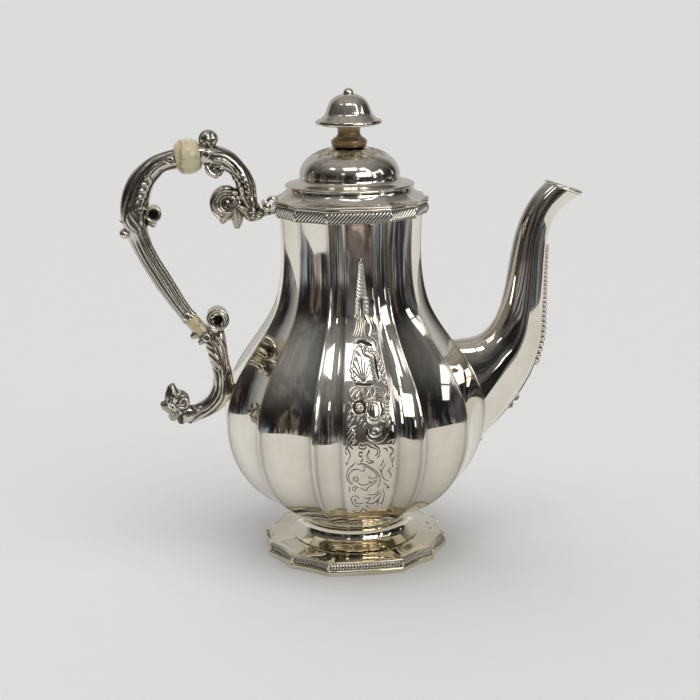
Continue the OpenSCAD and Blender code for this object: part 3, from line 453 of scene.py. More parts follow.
class Relief:
    """Raised strokes and cut lines, drawn over the picture in its pixels. Their heights are in millimetres."""

    def __init__(self, project=picture, spread=2.2, depth=0.85):
        self.strokes, self.project, self.spread, self.depth = [], project, spread, depth

    def draw(self, *points, width=1.5, height=0.4, ends=(0.35, 0.35), cut=False):
        """A stroke through points, narrower at its ends. One point alone is a dot."""
        p = np.asarray(points, float)
        p = np.repeat(p, 3, 0) if len(p) == 1 else p
        line = rounded(p)
        t = np.linspace(0, 1, len(line))
        swell = [e + (1 - e) * np.sin(np.pi / 2 * np.minimum(1, s / 0.45)) for e, s in zip(ends, (t, 1 - t))]
        self.strokes.append((line, width * swell[0] * swell[1], height, cut))

    def line(self, *points, width=0.55, height=0.22, ends=(0.5, 0.5)):
        """A cut line."""
        self.draw(*points, width=width, height=height, ends=ends, cut=True)

    def spiral(self, middle, r0, r1, start, sweep, **how):
        """A scroll about middle, angles in degrees with 90 straight down in the picture."""
        t = np.linspace(0, 1, max(5, int(abs(sweep) / 35)))
        a, r = np.radians(start + sweep * t), r0 + (r1 - r0) * t
        self.draw(*np.stack([middle[0] + r * np.cos(a), middle[1] + r * np.sin(a)], -1), **how)

    def leaf(self, spine, width, lobes, height):
        """An acanthus leaf: fat lobes leaning to the tip on both sides of a cut vein."""
        spine = rounded(spine, 8)
        step = np.diff(spine, axis=0, prepend=2 * spine[:1] - spine[1:2])
        step /= np.linalg.norm(step, axis=1, keepdims=True)
        side = np.stack([-step[:, 1], step[:, 0]], -1)
        length = np.linalg.norm(np.diff(spine, axis=0), axis=1).sum()
        for i in range(lobes):
            t = (i + 0.3) / lobes
            k = int(t * (len(spine) - 1))
            reach = width * (np.sin(np.pi * (0.18 + 0.82 * t)) ** 0.6)
            for sign in (1, -1):
                root = spine[k] + sign * side[k] * width * 0.12
                mid = spine[k] + sign * side[k] * reach * 0.62 + step[k] * reach * 0.35
                tip = spine[k] + sign * side[k] * reach + step[k] * reach * 0.95
                self.draw(root, mid, tip, width=length / lobes * 0.42, height=height, ends=(0.5, 0.3))
        tip = spine[-1] + step[-1] * length / lobes * 0.5
        self.draw(spine[len(spine) // 2], spine[-1], tip, width=width * 0.28, height=height, ends=(0.6, 0.2))
        self.line(*spine[:: max(1, len(spine) // 6)], width=width * 0.13, height=height * 0.6)

    def at(self, points):
        """The height at each point and how dark painted shade and tarnish make it there, with the far face
        mirrored from the near one.
        """
        points = np.array(points, float)
        shape = points.shape[:-1]
        points = points.reshape(-1, 3)
        points[:, 1] = -np.abs(points[:, 1])
        x = self.project(points)
        raised, groove, gap = np.zeros(len(x)), np.zeros(len(x)), np.full(len(x), 9.0)
        for line, width, height, cut in self.strokes:
            reach = width.max() + 2.6
            mine = np.flatnonzero(((x > line.min(0) - reach) & (x < line.max(0) + reach)).all(1))
            if not len(mine):
                continue
            ab = np.diff(line, axis=0)
            rel = x[mine, None] - line[:-1]
            t = unit((rel * ab).sum(-1) / np.maximum((ab * ab).sum(-1), 1e-9))
            d = np.linalg.norm(rel - t[..., None] * ab, axis=-1)
            wide = width[:-1] + t * np.diff(width)
            q = (d / wide).min(1)
            rise = height * unit(1 - q * q) ** 0.6
            if cut:
                groove[mine] = np.maximum(groove[mine], rise)
            else:
                raised[mine] = np.maximum(raised[mine], rise)
                gap[mine] = np.minimum(gap[mine], (d - wide).min(1))
        # painted shade and tarnish in the gaps beside the raised strokes, and in the cut lines
        edge = unit((gap + 0.25) / 0.5) * unit(self.spread - gap) * self.depth
        dark = np.maximum(edge, unit(groove / 0.18))
        return (raised - groove).reshape(shape), dark.reshape(shape)


def each(stroke, rows, **how):
    """Every row of x, y, x, y drawn by stroke, which is a relief's draw or line."""
    for row in rows:
        stroke(*np.reshape(row, (-1, 2)), **how)


# ---------------------------------------------------------------- foot
FOOT_R, BASE_TOP, CORD_TOP = 54.6, 3.3, 6.6
ROPE_R, PLATE_R = FOOT_R - 1.1, FOOT_R - 2.4
bore = FOOT_R * (1 - SCALLOP * WIDE_SCALLOP) - 6
band("foot_base", [(bore, 0, 0), (FOOT_R - 0.7, 0, 1), (FOOT_R - 0.25, 0.15, 1), (FOOT_R, 0.7, 1),
                   (FOOT_R, 2.3, 1), (FOOT_R - 0.2, 2.9, 1), (FOOT_R - 0.7, 3.25, 1),
                   (ROPE_R - 0.6, BASE_TOP, 1), (bore, BASE_TOP, 0)], edge_a, BASE_SOFT, FOOT, "foot_base_band")
rope("foot_rope", "foot_rope_band", ROPE_R, ROPE_R * (1 - SCALLOP * WIDE_SCALLOP) - 3, BASE_TOP, CORD_TOP,
     pitch=1.7, slant=0.8, depth=0.45, bulge=0.25, rows=15, strands=2, edge=0.12, step=0.2)
band("foot_wire", [(ROPE_R - 1.2, CORD_TOP, 1), (ROPE_R - 0.3, CORD_TOP, 1), (ROPE_R, 6.95, 1),
                   (ROPE_R, 7.4, 1), (ROPE_R - 0.25, 7.75, 1), (ROPE_R - 0.7, 7.9, 1), (ROPE_R - 1.15, 7.6, 1)],
     edge_a, BAND_SOFT, FOOT, "foot_edge_wire")

PLATE_IN, PLATE_THICK, PLATE_RINGS = 31.7, 1.1, 70
t = np.linspace(0, 1, PLATE_RINGS)
dish_r = PLATE_R + (PLATE_IN - PLATE_R) * t
dish_z = CORD_TOP + 3.4 * t ** 2.2
dish_a = plan_angles(0.9)
fade = (1 - t) ** 1.8
ripple = softened(scallop_sharp, dish_a, BAND_SOFT)


def dish_ring(r, z, f):
    """The plate's lobes are slightly dished, and fade out towards the neck."""
    hollow = 1.6 * f * (1 - f) * (ripple / SCALLOP - 0.6)
    return polar(r * (1 - ripple * f), dish_a, z - hollow - 0.35 * math.exp(-((f - 0.1) / 0.08) ** 2))


marks = Relief(spread=0.6)
for x, y, w in ((267, 512, 1.5), (284, 522, 1.3), (287, 514, 1), (273, 535, 1.2), (268.5, 508, 1),
                (430, 528, 1), (441, 527, 0.9), (279, 529, 0.8)):
    marks.line((x, y), width=w, height=0.2, ends=(1, 1))
top = np.array([dish_ring(r, z + PLATE_THICK, f) for r, z, f in zip(dish_r, dish_z, fade)])
under = [polar(r * (1 - ripple * f), dish_a, z) for r, z, f in zip(dish_r, dish_z, fade)][::-4]
pits, dark = marks.at(top)
top = top + pits[..., None] * [0, 0, 1]
add("foot_plate", np.concatenate([*top, *under]), grid(PLATE_RINGS + len(under), len(dish_a)), FOOT,
    "foot_dish", painted_shade_and_discolour=np.concatenate([dark.reshape(-1), np.zeros(len(under) * len(dish_a))]))
collar = rounded([[33, 25], [33.05, 24.2], [32.4, 23.5], [31.0, 23.0], [30.5, 22.3], [30.9, 21.6], [30.6, 20.9],
                  [29.9, 19.4], [29.8, 17.6], [30.2, 15.6], [31.3, 13.4], [33.1, 11.9], [35.4, 10.6],
                  [37.6, 9.55]])
collar = np.vstack([collar, [[37.4, 9.2], [34, 10.1], [31.4, 11.05], [31.4, 10], [29.3, 10], [28.6, 23.8],
                             [26.3, 23.8], [26.3, 25]]])
lathe("foot_neck", collar[::-1], 160, FOOT, "foot_collar", sharp=50)
POST_SIDES = 16
section = np.array([[0, BASE_TOP], [0.75, BASE_TOP], [1.1, 3.9], [0.8, 4.6], [1.1, 5.2], [0.8, 6.2],
                    [0.3, CORD_TOP], [0, CORD_TOP]])
turn = np.linspace(0, 360, POST_SIDES, endpoint=False)
posts, faces = [], []
for a in CUSPS:
    faces.append(grid(len(section), POST_SIDES, False, start=len(posts) * len(section) * POST_SIDES))
    post = polar(section[:, None, 0], turn[None], section[:, 1:2]) + polar(ROPE_R, a, 0)
    posts.append(post.reshape(-1, 3))
add("foot_corner_posts", np.concatenate(posts), np.concatenate(faces), FOOT, "foot_corner_stops", sharp=60)

# ---------------------------------------------------------------- lid
LID_Z, FLANGE_R, FLANGE_Z = 208.2, 36.7, 215.5
DOME_R, DOME_Z, DOME_H, DOME_TOP = 28.4, 221, 16.6, 237.6
DOME_POWER = 2 / 2.3  # squarer than an ellipse
BORE_R = 1.6  # the rod's hole
shoulder = [(RIM_R - 0.3, LID_Z, 1), (RIM_R + 0.1, LID_Z + 0.2, 1), (RIM_R + 0.2, LID_Z + 0.6, 1),
            (RIM_R - 0.1, LID_Z + 1.0, 1), (RIM_R - 0.8, LID_Z + 1.25, 1)]
slope = rounded([[RIM_R - 2.6, 1.7, 0.9], [RIM_R - 5, 2.7, 0.6], [FLANGE_R + 0.9, 4.2, 0.25],
                 [FLANGE_R - 0.4, 5.8, 0.0], [FLANGE_R - 0.7, 7.3, 0.0]], 5)
shoulder += [(r, LID_Z + z, max(0, k)) for r, z, k in slope]
shoulder += [(FLANGE_R - 2.1, FLANGE_Z, 0), (FLANGE_R - 1.9, 212.2, 0), (35.6, LID_Z, 0)]
band("lid_skirt", shoulder, edge_a, BASE_SOFT, LID, "lid_shoulder", "lid", sharp=50)

angle = np.radians(np.linspace(0, 78, 90))
curve, inner = (np.stack([(DOME_R - wall) * np.cos(angle) ** DOME_POWER,
                          DOME_Z + (DOME_H - wall) * np.sin(angle) ** DOME_POWER], 1) for wall in (0, WALL))
flange = rounded([[36.2, FLANGE_Z], [36.65, 215.9], [36.7, 216.5], [36.3, 217.1], [35.4, 217.4], [33.2, 217.7],
                  [30.6, 218.5], [28.9, 219.7], curve[0]], 5)
dome = np.vstack([flange, curve[1:], [[9.8, DOME_TOP], [BORE_R, DOME_TOP], [BORE_R, inner[-1, 1]]], inner[::-5],
                  [[29, 217.7], [33.8, 216.5], [33.8, FLANGE_Z]]])


def around(points):
    """Millimetres round the lid, in repeated twelfths, and the radius."""
    a = (np.degrees(np.arctan2(points[:, 1], points[:, 0])) + 15) % 30 - 15
    return np.stack([np.radians(a) * 15.5, np.hypot(points[:, 0], points[:, 1])], -1)


foliage = Relief(around, spread=0.7, depth=0.8)
each(foliage.draw, [
    (-4, 18.2, -2.6, 16, -0.6, 15.4, 1.2, 16.6, 3.2, 18.4, 4.1, 18.2),
    (-3.9, 12.2, -2, 13.4, 0, 13, 2, 12, 3.9, 12.2), (-0.4, 15.4, -1.6, 14.2, -3, 14.4),
    (1.2, 16.6, 2.6, 15.6, 3.6, 14.2), (-2.6, 16, -2.4, 17.6, -1.2, 18.6), (0.4, 16, 0.6, 17.6, 1.8, 18.9),
    (-3.4, 17, -3.8, 15.6), (2.6, 17.8, 3.4, 16.6), (-1, 19.4, 0, 20.8, 1, 19.4)
], width=0.42, height=0.24)
foliage.spiral((1.3, 14.4), 1.4, 0.35, 200, 420, width=0.34, height=0.24)
turns = np.linspace(0, 360, 420, endpoint=False)
rings = polar(dome[:, :1], turns[None], dome[:, 1:])
step = np.gradient(dome, axis=0)
step /= np.linalg.norm(step, axis=1, keepdims=True)
rise, dark = foliage.at(rings)
on = ((dome[:, 0] > 10.5) & (dome[:, 0] < 23) & (dome[:, 1] > 230) & (step[:, 0] < 0))[:, None]
rise, dark = rise * on, dark * on
rings = polar(dome[:, :1] + rise * step[:, 1:], turns[None], dome[:, 1:] - rise * step[:, :1])
add("lid_dome_shell", rings.reshape(-1, 3), grid(len(dome), len(turns)), LID, "lid_dome", "lid",
    painted_shade_and_discolour=dark.reshape(-1), sharp=45)
lathe("lid_bezel_ring", [[35.6, 203.6], [36.5, 203.6], [36.8, 203.9], [36.8, LID_Z], [35.6, LID_Z]], 160,
      SILVER, "lid_bezel", "lid", sharp=40)

# ---------------------------------------------------------------- knob
COLLAR_H = 11.9
CAP_Z = DOME_TOP + COLLAR_H
collar = rounded([[9.5, 0.1], [10.1, 1.4], [10.2, 2.8], [9.7, 4.0], [8.5, 5.0], [7.1, 6.0], [6.45, 7.4],
                  [6.4, 9.0], [6.7, 10.6], [7.1, COLLAR_H]])
groove = (np.abs(collar[:, 1] - 4.5) < 0.35) | (np.abs(collar[:, 1] - 5.5) < 0.25)
collar[groove, 0] -= 0.2
# painted shade in the grooves and under the collar, and a painted shadow darkening its foot where it sits on
# the dome
collar_shade = np.where(groove, 0.8, np.clip(1 - collar[:, 1] / 2.2, 0, 0.7))
collar = np.vstack([[[BORE_R, 0], [8.6, 0]], collar, [[BORE_R, COLLAR_H]]]) + [0, DOME_TOP]
lathe("knob_ivory_collar", collar, 96, AMBER, "knob_insulator", "lid", sharp=50,
      painted_shade_and_discolour=np.concatenate([[0, 0.7], collar_shade, [0]]))
bell = rounded([[17.7, 0.2], [18.5, 0.5], [18.8, 1.3], [18.7, 2.2], [18.2, 2.95], [17.4, 3.0], [16.8, 2.7],
                [16.2, 3.2], [14.9, 4.6], [13.4, 6.3], [12.6, 8.3], [11.7, 10.6], [10.6, 12.8], [8.6, 15.0],
                [5.7, 16.6], [3.1, 17.3]])
bell = np.vstack([bell, [[BORE_R, 17.3], [BORE_R, 16.1], [5.7, 15.1], [8.4, 13.3], [10.3, 11], [11.5, 7],
                         [13.7, 4], [15.4, 2.4], [15.4, 1.2], [16.5, 1.2], [16.5, 0.3]]]) + [0, CAP_Z]
lathe("knob_bell", bell, 128, LID, "knob_cap", "lid", sharp=50)
plate = np.array([[BORE_R, 0], [15.9, 0], [16.3, 0.3], [16.4, 0.8], [16.3, 1.2], [BORE_R, 1.2]]) + [0, CAP_Z]
lathe("knob_plate", plate, 96, SILVER, "knob_cap_plate", "lid", sharp=40)
lift = np.radians(np.linspace(-4, 90, 18))
ball = np.stack([3 * np.cos(lift), 0.2 + 3 * np.sin(lift)], 1)
ball = np.vstack([[[BORE_R, 0.0], [2.9, 0.0]], ball, [[0, 1.5], [BORE_R, 1.5]]]) + [0, CAP_Z + 17.3]
lathe("knob_ball", ball, 48, SILVER, "knob_finial", "lid", sharp=40)


# ---------------------------------------------------------------- shells of rings
class Shells:
    """Closed shells gathered into one piece, each turned to face outwards."""

    def __init__(self):
        self.points, self.faces, self.painted_shade_and_discolour, self.count = [], [], [], 0

    def tube(self, rings, painted_shade_and_discolour=0.0, closed=False):
        """A shell over rings, its ends capped, or joined to each other where it is closed."""
        n, m = rings.shape[:2]
        points = rings.reshape(-1, 3)
        dark = np.broadcast_to(painted_shade_and_discolour, (n, m)).reshape(-1)
        faces = grid(n, m, closed)
        tris = np.zeros((0, 3), int)
        if not closed:
            points = np.vstack([points, rings[0].mean(0), rings[-1].mean(0)])
            dark = np.append(dark, [dark[0], dark[-1]])
            j = np.arange(m)
            k = (j + 1) % m
            tris = np.concatenate([np.stack([np.full(m, n * m), k, j], -1),
                                   np.stack([np.full(m, n * m + 1), (n - 1) * m + j, (n - 1) * m + k], -1)])
        corners = np.concatenate([faces[:, [0, 1, 2]], faces[:, [0, 2, 3]], tris])
        a, b, c = (points[corners[:, i]] - points.mean(0) for i in range(3))
        faces = faces.tolist() + tris.tolist()
        if (a * np.cross(b, c)).sum() < 0:
            faces = [f[::-1] for f in faces]
        self.faces += [[v + self.count for v in f] for f in faces]
        self.points.append(points)
        self.painted_shade_and_discolour.append(dark)
        self.count += len(points)

    def make(self, name, material, replaces=None, body="pot", sharp=50):
        add(name, np.concatenate(self.points), self.faces, material, replaces, body,
            painted_shade_and_discolour=np.concatenate(self.painted_shade_and_discolour), sharp=sharp)


def solid(name, rings, material, replaces=None, body="pot", painted_shade_and_discolour=0.0, closed=False, sharp=50):
    """A piece of one shell."""
    made = Shells()
    made.tube(rings, painted_shade_and_discolour, closed)
    made.make(name, material, replaces, body, sharp)


def bar(stations, steps=8, sides=72, round_off=0):
    """Rings through stations [outer x, outer z, inner x, inner z, half width], the front at a quarter turn."""
    s = rounded(stations, steps)
    p = circle(sides)
    c, u = (s[:, :2] + s[:, 2:4]) / 2, (s[:, :2] - s[:, 2:4]) / 2
    rings = np.stack([c[:, :1] + u[:, :1] * np.cos(p), -s[:, 4:5] * np.sin(p), c[:, 1:] + u[:, 1:] * np.cos(p)],
                     -1)
    if round_off:
        ends = []
        for ring, ahead in ((rings[0], rings[1]), (rings[-1], rings[-2])):
            middle = ring.mean(0)
            way = middle - ahead.mean(0)
            way *= round_off / np.linalg.norm(way)
            q = np.radians([25, 50, 72, 86])
            ends.append(np.stack([middle + (ring - middle) * math.cos(t) + way * math.sin(t) for t in q]))
        rings = np.concatenate([ends[0][::-1], rings, ends[1]])
    return rings


def outward(rings):
    """Unit normals of rings, away from the rings' middles."""
    n = np.cross(np.roll(rings, -1, 1) - np.roll(rings, 1, 1), np.gradient(rings, axis=0))
    n /= np.maximum(np.linalg.norm(n, axis=-1, keepdims=True), 1e-9)
    return n * np.sign((n * (rings - rings.mean(1, keepdims=True))).sum())


def turned(profile, turns=40, at=(0, 0), angle=None):
    """Rings of [r, length] turned about an axis through at = (x, z), across the handle or along angle."""
    profile = np.asarray(profile, float)
    a = circle(turns)
    r, l = profile[:, :1], np.repeat(profile[:, 1:], turns, 1)
    if angle is None:
        return np.stack([at[0] + r * np.cos(a), l, at[1] + r * np.sin(a)], -1)
    t = math.radians(angle)
    return np.stack([at[0] + r * np.cos(a) * math.sin(t) + l * math.cos(t), r * np.sin(a),
                     at[1] - r * np.cos(a) * math.cos(t) + l * math.sin(t)], -1)


def egg(r, half, steps, reach=88):
    """Profile of an egg-shaped boss, up to reach degrees from its waist."""
    lift = np.radians(np.linspace(-reach, reach, steps))
    return np.stack([r * np.cos(lift), half * np.sin(lift)], 1)


def both_ways(profile):
    """A half section followed by its mirror image."""
    return profile + [[r, -l] for r, l in profile[::-1]]


def disc_profile(r, half, rim=0.25, sunk=0.7, boss=0.35, rings=10):
    """Section of a barrel with rounded rims and a sunk eye with a boss at each end."""
    t = np.linspace(0, 1, rings)
    inner = r * (1 - rim)
    face = [[max(inner * (1 - k), 0.02), half - sunk + sunk * 0.9 * max(0, 1 - (1 - k) / boss) ** 0.5]
            for k in t[::-1]]
    lip = [[r - r * rim / 2 + r * rim / 2 * math.cos(a), half - r * rim / 2 + r * rim / 2 * math.sin(a)]
           for a in np.radians(np.linspace(150, -10, 9))]
    return both_ways(face + lip)


def barrel(shells, r, half, at, rim=0.3, sunk=1.4):
    """A scroll's rolled end: a bright rim round a sunk eye, darkened with painted shade."""
    profile = np.array(disc_profile(r, half, rim=rim, sunk=sunk))
    eye = r * (1 - rim)
    dark = unit((eye - profile[:, 0]) / (0.25 * r) + 0.3) * (profile[:, 0] < eye + 0.01)
    shells.tube(turned(profile, 48, at), dark[:, None])


def petal(shells, root, tip, wide, thick, bend, dark=0.1):
    """A fleshy leaf with a round end, wide across and thick through, bent to one side. It is darkened all over
    by dark, and painted shade darkens its root, its vein and its edges.
    """
    root, tip = np.array(root, float), np.array(tip, float)
    way = tip - root
    side = np.array([-way[1], way[0]]) / np.hypot(*way)
    stations, sides = [], 40
    for t in np.linspace(0, 1, 7):
        c = root + way * t * 0.9 + side * bend * math.sin(math.pi * t)
        h = 0.5 * wide * math.sin(math.pi * (0.25 + 0.62 * t)) ** 0.7
        stations.append((*(c + side * h), *(c - side * h), thick * (1 - 0.45 * t * t)))
    rings = bar(stations, 4, sides, 0.16 * wide)
    across = np.abs(np.cos(circle(sides)))[None]
    along = np.linspace(0, 1, len(rings))[:, None]
    # painted shade: in the vein, along the leaf's edges and towards its root
    vein = unit(1 - across / 0.16) * unit(1.2 - along)
    wall = unit((across - 0.8) / 0.2)
    rings = rings - outward(rings) * (0.45 * vein)[..., None]
    shells.tube(rings, unit(dark + 0.5 * (1 - along) ** 2 + 0.6 * vein + 0.5 * wall))


def chased(rings, relief):
    """Rings with a relief raised on them, and how dark it makes them."""
    h, dark = relief.at(rings)
    return rings + outward(rings) * h[..., None], dark


def scroll(middle, radii, heights, start, sweep, half):
    """Stations of a bar rolled about middle, its radius and height changing evenly along it."""
    out = []
    for t in np.linspace(0, 1, 9):
        r, h = (a + b * t for a, b in (radii, heights))
        way = np.array([math.cos(math.radians(start + sweep * t)), math.sin(math.radians(start + sweep * t))])
        out.append((*(middle + (r + h / 2) * way), *(middle + (r - h / 2) * way), half))
    return out


# ---------------------------------------------------------------- engraved panels, front and back
panel = Relief(spread=1.5, depth=0.75)
panel.draw((358.4, 262.8), (360, 260.6), (361.5, 258.6), width=1.1, height=0.35)
for i in range(10):
    y, w = 264.5 + 3.5 * i, 1.9 + 0.34 * i
    for s in (-1, 1):
        panel.draw((360.8, y + 1.6), (360.8 + s * w * 0.55, y + 0.5), (360.8 + s * w, y - 1.8), width=0.85,
                   height=0.34)
    panel.draw((360.8, y), width=0.7, height=0.36, ends=(1, 1))
for y, r in ((299.5, 2.0), (303.6, 2.2), (307.6, 2.4), (311.6, 2.1)):
    panel.spiral((365.6, y), r, r * 0.35, 190, 320, width=0.8, height=0.4, ends=(0.6, 0.5))
    panel.spiral((356.6, y + 0.8), r * 0.9, r * 0.3, -10, -320, width=0.75, height=0.36, ends=(0.6, 0.5))
each(panel.line, [
    (361.2, 296, 361, 306, 361.6, 318), (353.3, 376.8, 356.4, 376.2), (353.6, 380.4, 356.2, 381)
], width=0.6)
panel.spiral((356.8, 316), 3, 0.9, -40, -380, width=0.85, height=0.4)
panel.draw((356, 322), (358.4, 318.6), (361, 319.4), (359.8, 322.6), width=0.9, height=0.42)
panel.draw((365.4, 316), (368.4, 325), (368.2, 334), width=3.0, height=0.3, ends=(0.5, 0.7))
for x0, x1 in ((355.4, 352.6), (357.6, 354.9), (359.8, 357.4), (361.8, 360.4), (363.6, 364)):
    panel.draw((x0 + 1.2, 320.6), (x0, 328), (x1, 337), width=0.85, height=0.36, ends=(0.5, 0.6))
each(panel.line, [(370.2, 320.9, 372.2, 326.5, 373.2, 333), (371.6, 318.4, 374.2, 325, 375.6, 333)], width=0.55)
each(panel.draw, [
    (354.2, 343.6, 356.4, 340.2, 360, 338.8, 364, 340, 367.8, 341),
    (368.6, 336, 372.6, 338.4, 375.6, 342, 376.4, 347),
    (354.4, 350, 353.2, 358, 351.8, 366, 352.4, 375, 355, 382.6),
    (356.4, 348, 359.4, 345.6, 362, 347.8, 364.2, 354, 368.4, 356.4, 371.4, 357.6),
    (355.4, 426, 350.2, 429, 347.2, 434), (354.8, 430, 350.6, 433.6, 347.6, 438.6),
    (355.4, 434, 351.6, 437.4, 348.8, 443), (351, 427.6, 353.6, 432, 354.6, 437.6)
], width=0.9, height=0.38)
panel.line((357, 343), (361.4, 341.4), (366.4, 343.4), (371.4, 345.4), width=1.7, height=0.4)
panel.spiral((365.4, 349.2), 2.9, 0.8, 120, 420, width=0.9, height=0.42)
panel.spiral((371, 350.6), 2.4, 0.7, 60, 400, width=0.8, height=0.4)
for x, y in ((351.8, 369), (353.2, 362.4), (356.6, 357.4), (360.8, 355.4), (365, 359.4), (369, 364),
             (371, 371)):
    panel.line((x, y), (0.55 * x + 0.45 * 363.6, 0.5 * y + 0.5 * 381), (363.9 + 0.12 * (x - 363), 381.6),
               width=0.5, height=0.26)
for x, y in ((352.2, 364.6), (351.2, 371.4), (352.4, 377.4), (354.8, 358.6), (357.8, 353.4)):
    panel.draw((x + 1.8, y + 2.2), (x, y), (x - 1.3, y - 2), width=0.9, height=0.32)
panel.line((355, 384), (364, 384.9), (373, 384.6), width=0.95, height=0.4)
for x, y, r in ((374.8, 354.2, 2.1), (378.6, 360.2, 2.8), (380.6, 365.6, 2.5), (382.4, 371, 2.8),
                (384, 377, 2.8), (385.6, 384, 2.5)):
    panel.spiral((x, y), r, r * 0.35, 200, 380, width=0.85, height=0.42, ends=(0.7, 0.5))
for x, y in ((371, 357.8), (371.8, 362.2), (372.4, 366.6), (373.2, 370.8), (374.2, 375.2), (375.2, 379.6)):
    panel.draw((x - 2.2, y - 1.6), (x, y), (x + 1.8, y + 1.8), width=0.85, height=0.4)
panel.line((374.4, 357), (376.2, 367), (378.8, 379.4), width=1.3, height=0.34)
each(panel.draw, [
    (362.8, 388, 361.4, 392, 363.6, 396.6), (366.4, 387.4, 367.8, 392, 365.6, 396.8),
    (369.6, 387, 369.4, 392, 371.4, 397.4), (373.4, 386.8, 374.4, 392, 372.6, 397.2),
    (356.4, 386, 351.6, 388.6, 348.6, 392.4), (358.4, 388.6, 353.8, 392.4, 351, 396.8),
    (360.2, 391, 357.2, 394.6, 355.4, 398), (350.4, 395, 352.2, 399.4, 356, 401, 358.6, 398.4, 357, 395.8),
    (387.2, 384, 388.6, 389.6, 387.4, 396), (384.6, 388.4, 385.6, 393, 384, 398),
    (363.4, 401.8, 369, 399.2, 375, 397.8), (365, 404.4, 366.6, 409.8, 364.6, 414),
    (355.4, 414.8, 359.4, 415.6, 363.6, 412.8), (368.4, 402.6, 371.6, 401.4, 375.8, 402),
    (379.4, 399.4, 382.2, 403.4, 383.2, 409)
], width=1.0, height=0.42)
for d in (0, 2.3, 4.6, 6.9):
    panel.draw((374.8 + 0.3 * d, 388 + d), (379.4, 388.8 + d), (383.8, 392.6 + d), width=0.75, height=0.42,
               ends=(0.5, 0.6))
panel.draw((348.4, 402.6), (350.2, 405), (353, 407.4), width=1.3, height=0.4)
panel.line(*[(359.4 + 5.8 * math.cos(t), 407.4 + 6 * math.sin(t)) for t in np.linspace(0, 2 * np.pi, 9)],
           width=1.3, height=0.34, ends=(1, 1))
panel.draw((357.2, 408.8), (359.4, 407), (361.8, 406.4), width=2.3, height=0.5, ends=(0.7, 0.7))
panel.draw((374.2, 406.4), (374.6, 411), (375, 416), width=4.6, height=0.8, ends=(0.8, 0.8))
panel.line((380, 403), (382, 410), (380.6, 418), width=0.8, height=0.3)
panel.line((368.2, 404.4), (367.6, 410), (369, 415.6), width=0.7, height=0.3)
for y in (402.6, 406.2, 409.8, 413.4):
    panel.draw((383.8, y + 0.6), (386.6, y - 1), (389.2, y + 0.4), width=0.9, height=0.38)
panel.draw((366.6, 417.4), (368.4, 421.6), (373, 423.2), (378, 421.6), (381.4, 416.6), width=1.1, height=0.48)
panel.spiral((369.9, 418.6), 1.9, 0.5, 160, -380, width=0.8, height=0.45)
panel.spiral((382.8, 418.8), 2.6, 0.8, 60, 380, width=0.85, height=0.42)
for x, y in ((349.4, 412), (348.2, 418), (351.4, 421), (353.6, 416), (357, 419.4), (360.4, 422), (386.4, 418),
             (388, 423.6), (363.6, 425.6), (349, 425)):
    panel.draw((x - 1.2, y + 2), (x, y), (x + 1.6, y - 1.8), width=0.9, height=0.36)
panel.spiral((374.6, 431.8), 6.2, 1.4, 190, -470, width=1.3, height=0.55, ends=(0.6, 0.5))
panel.draw((366, 431), (367.2, 437), (371.4, 441.2), (377, 442.6), (383.2, 440), (387.4, 434.4), width=0.85,
           height=0.4)
panel.line(*[(375 + 8.3 * math.cos(t), 431.6 + 7.6 * math.sin(t)) for t in np.linspace(-0.5, 3.4, 9)],
           width=1.1, height=0.34, ends=(1, 1))
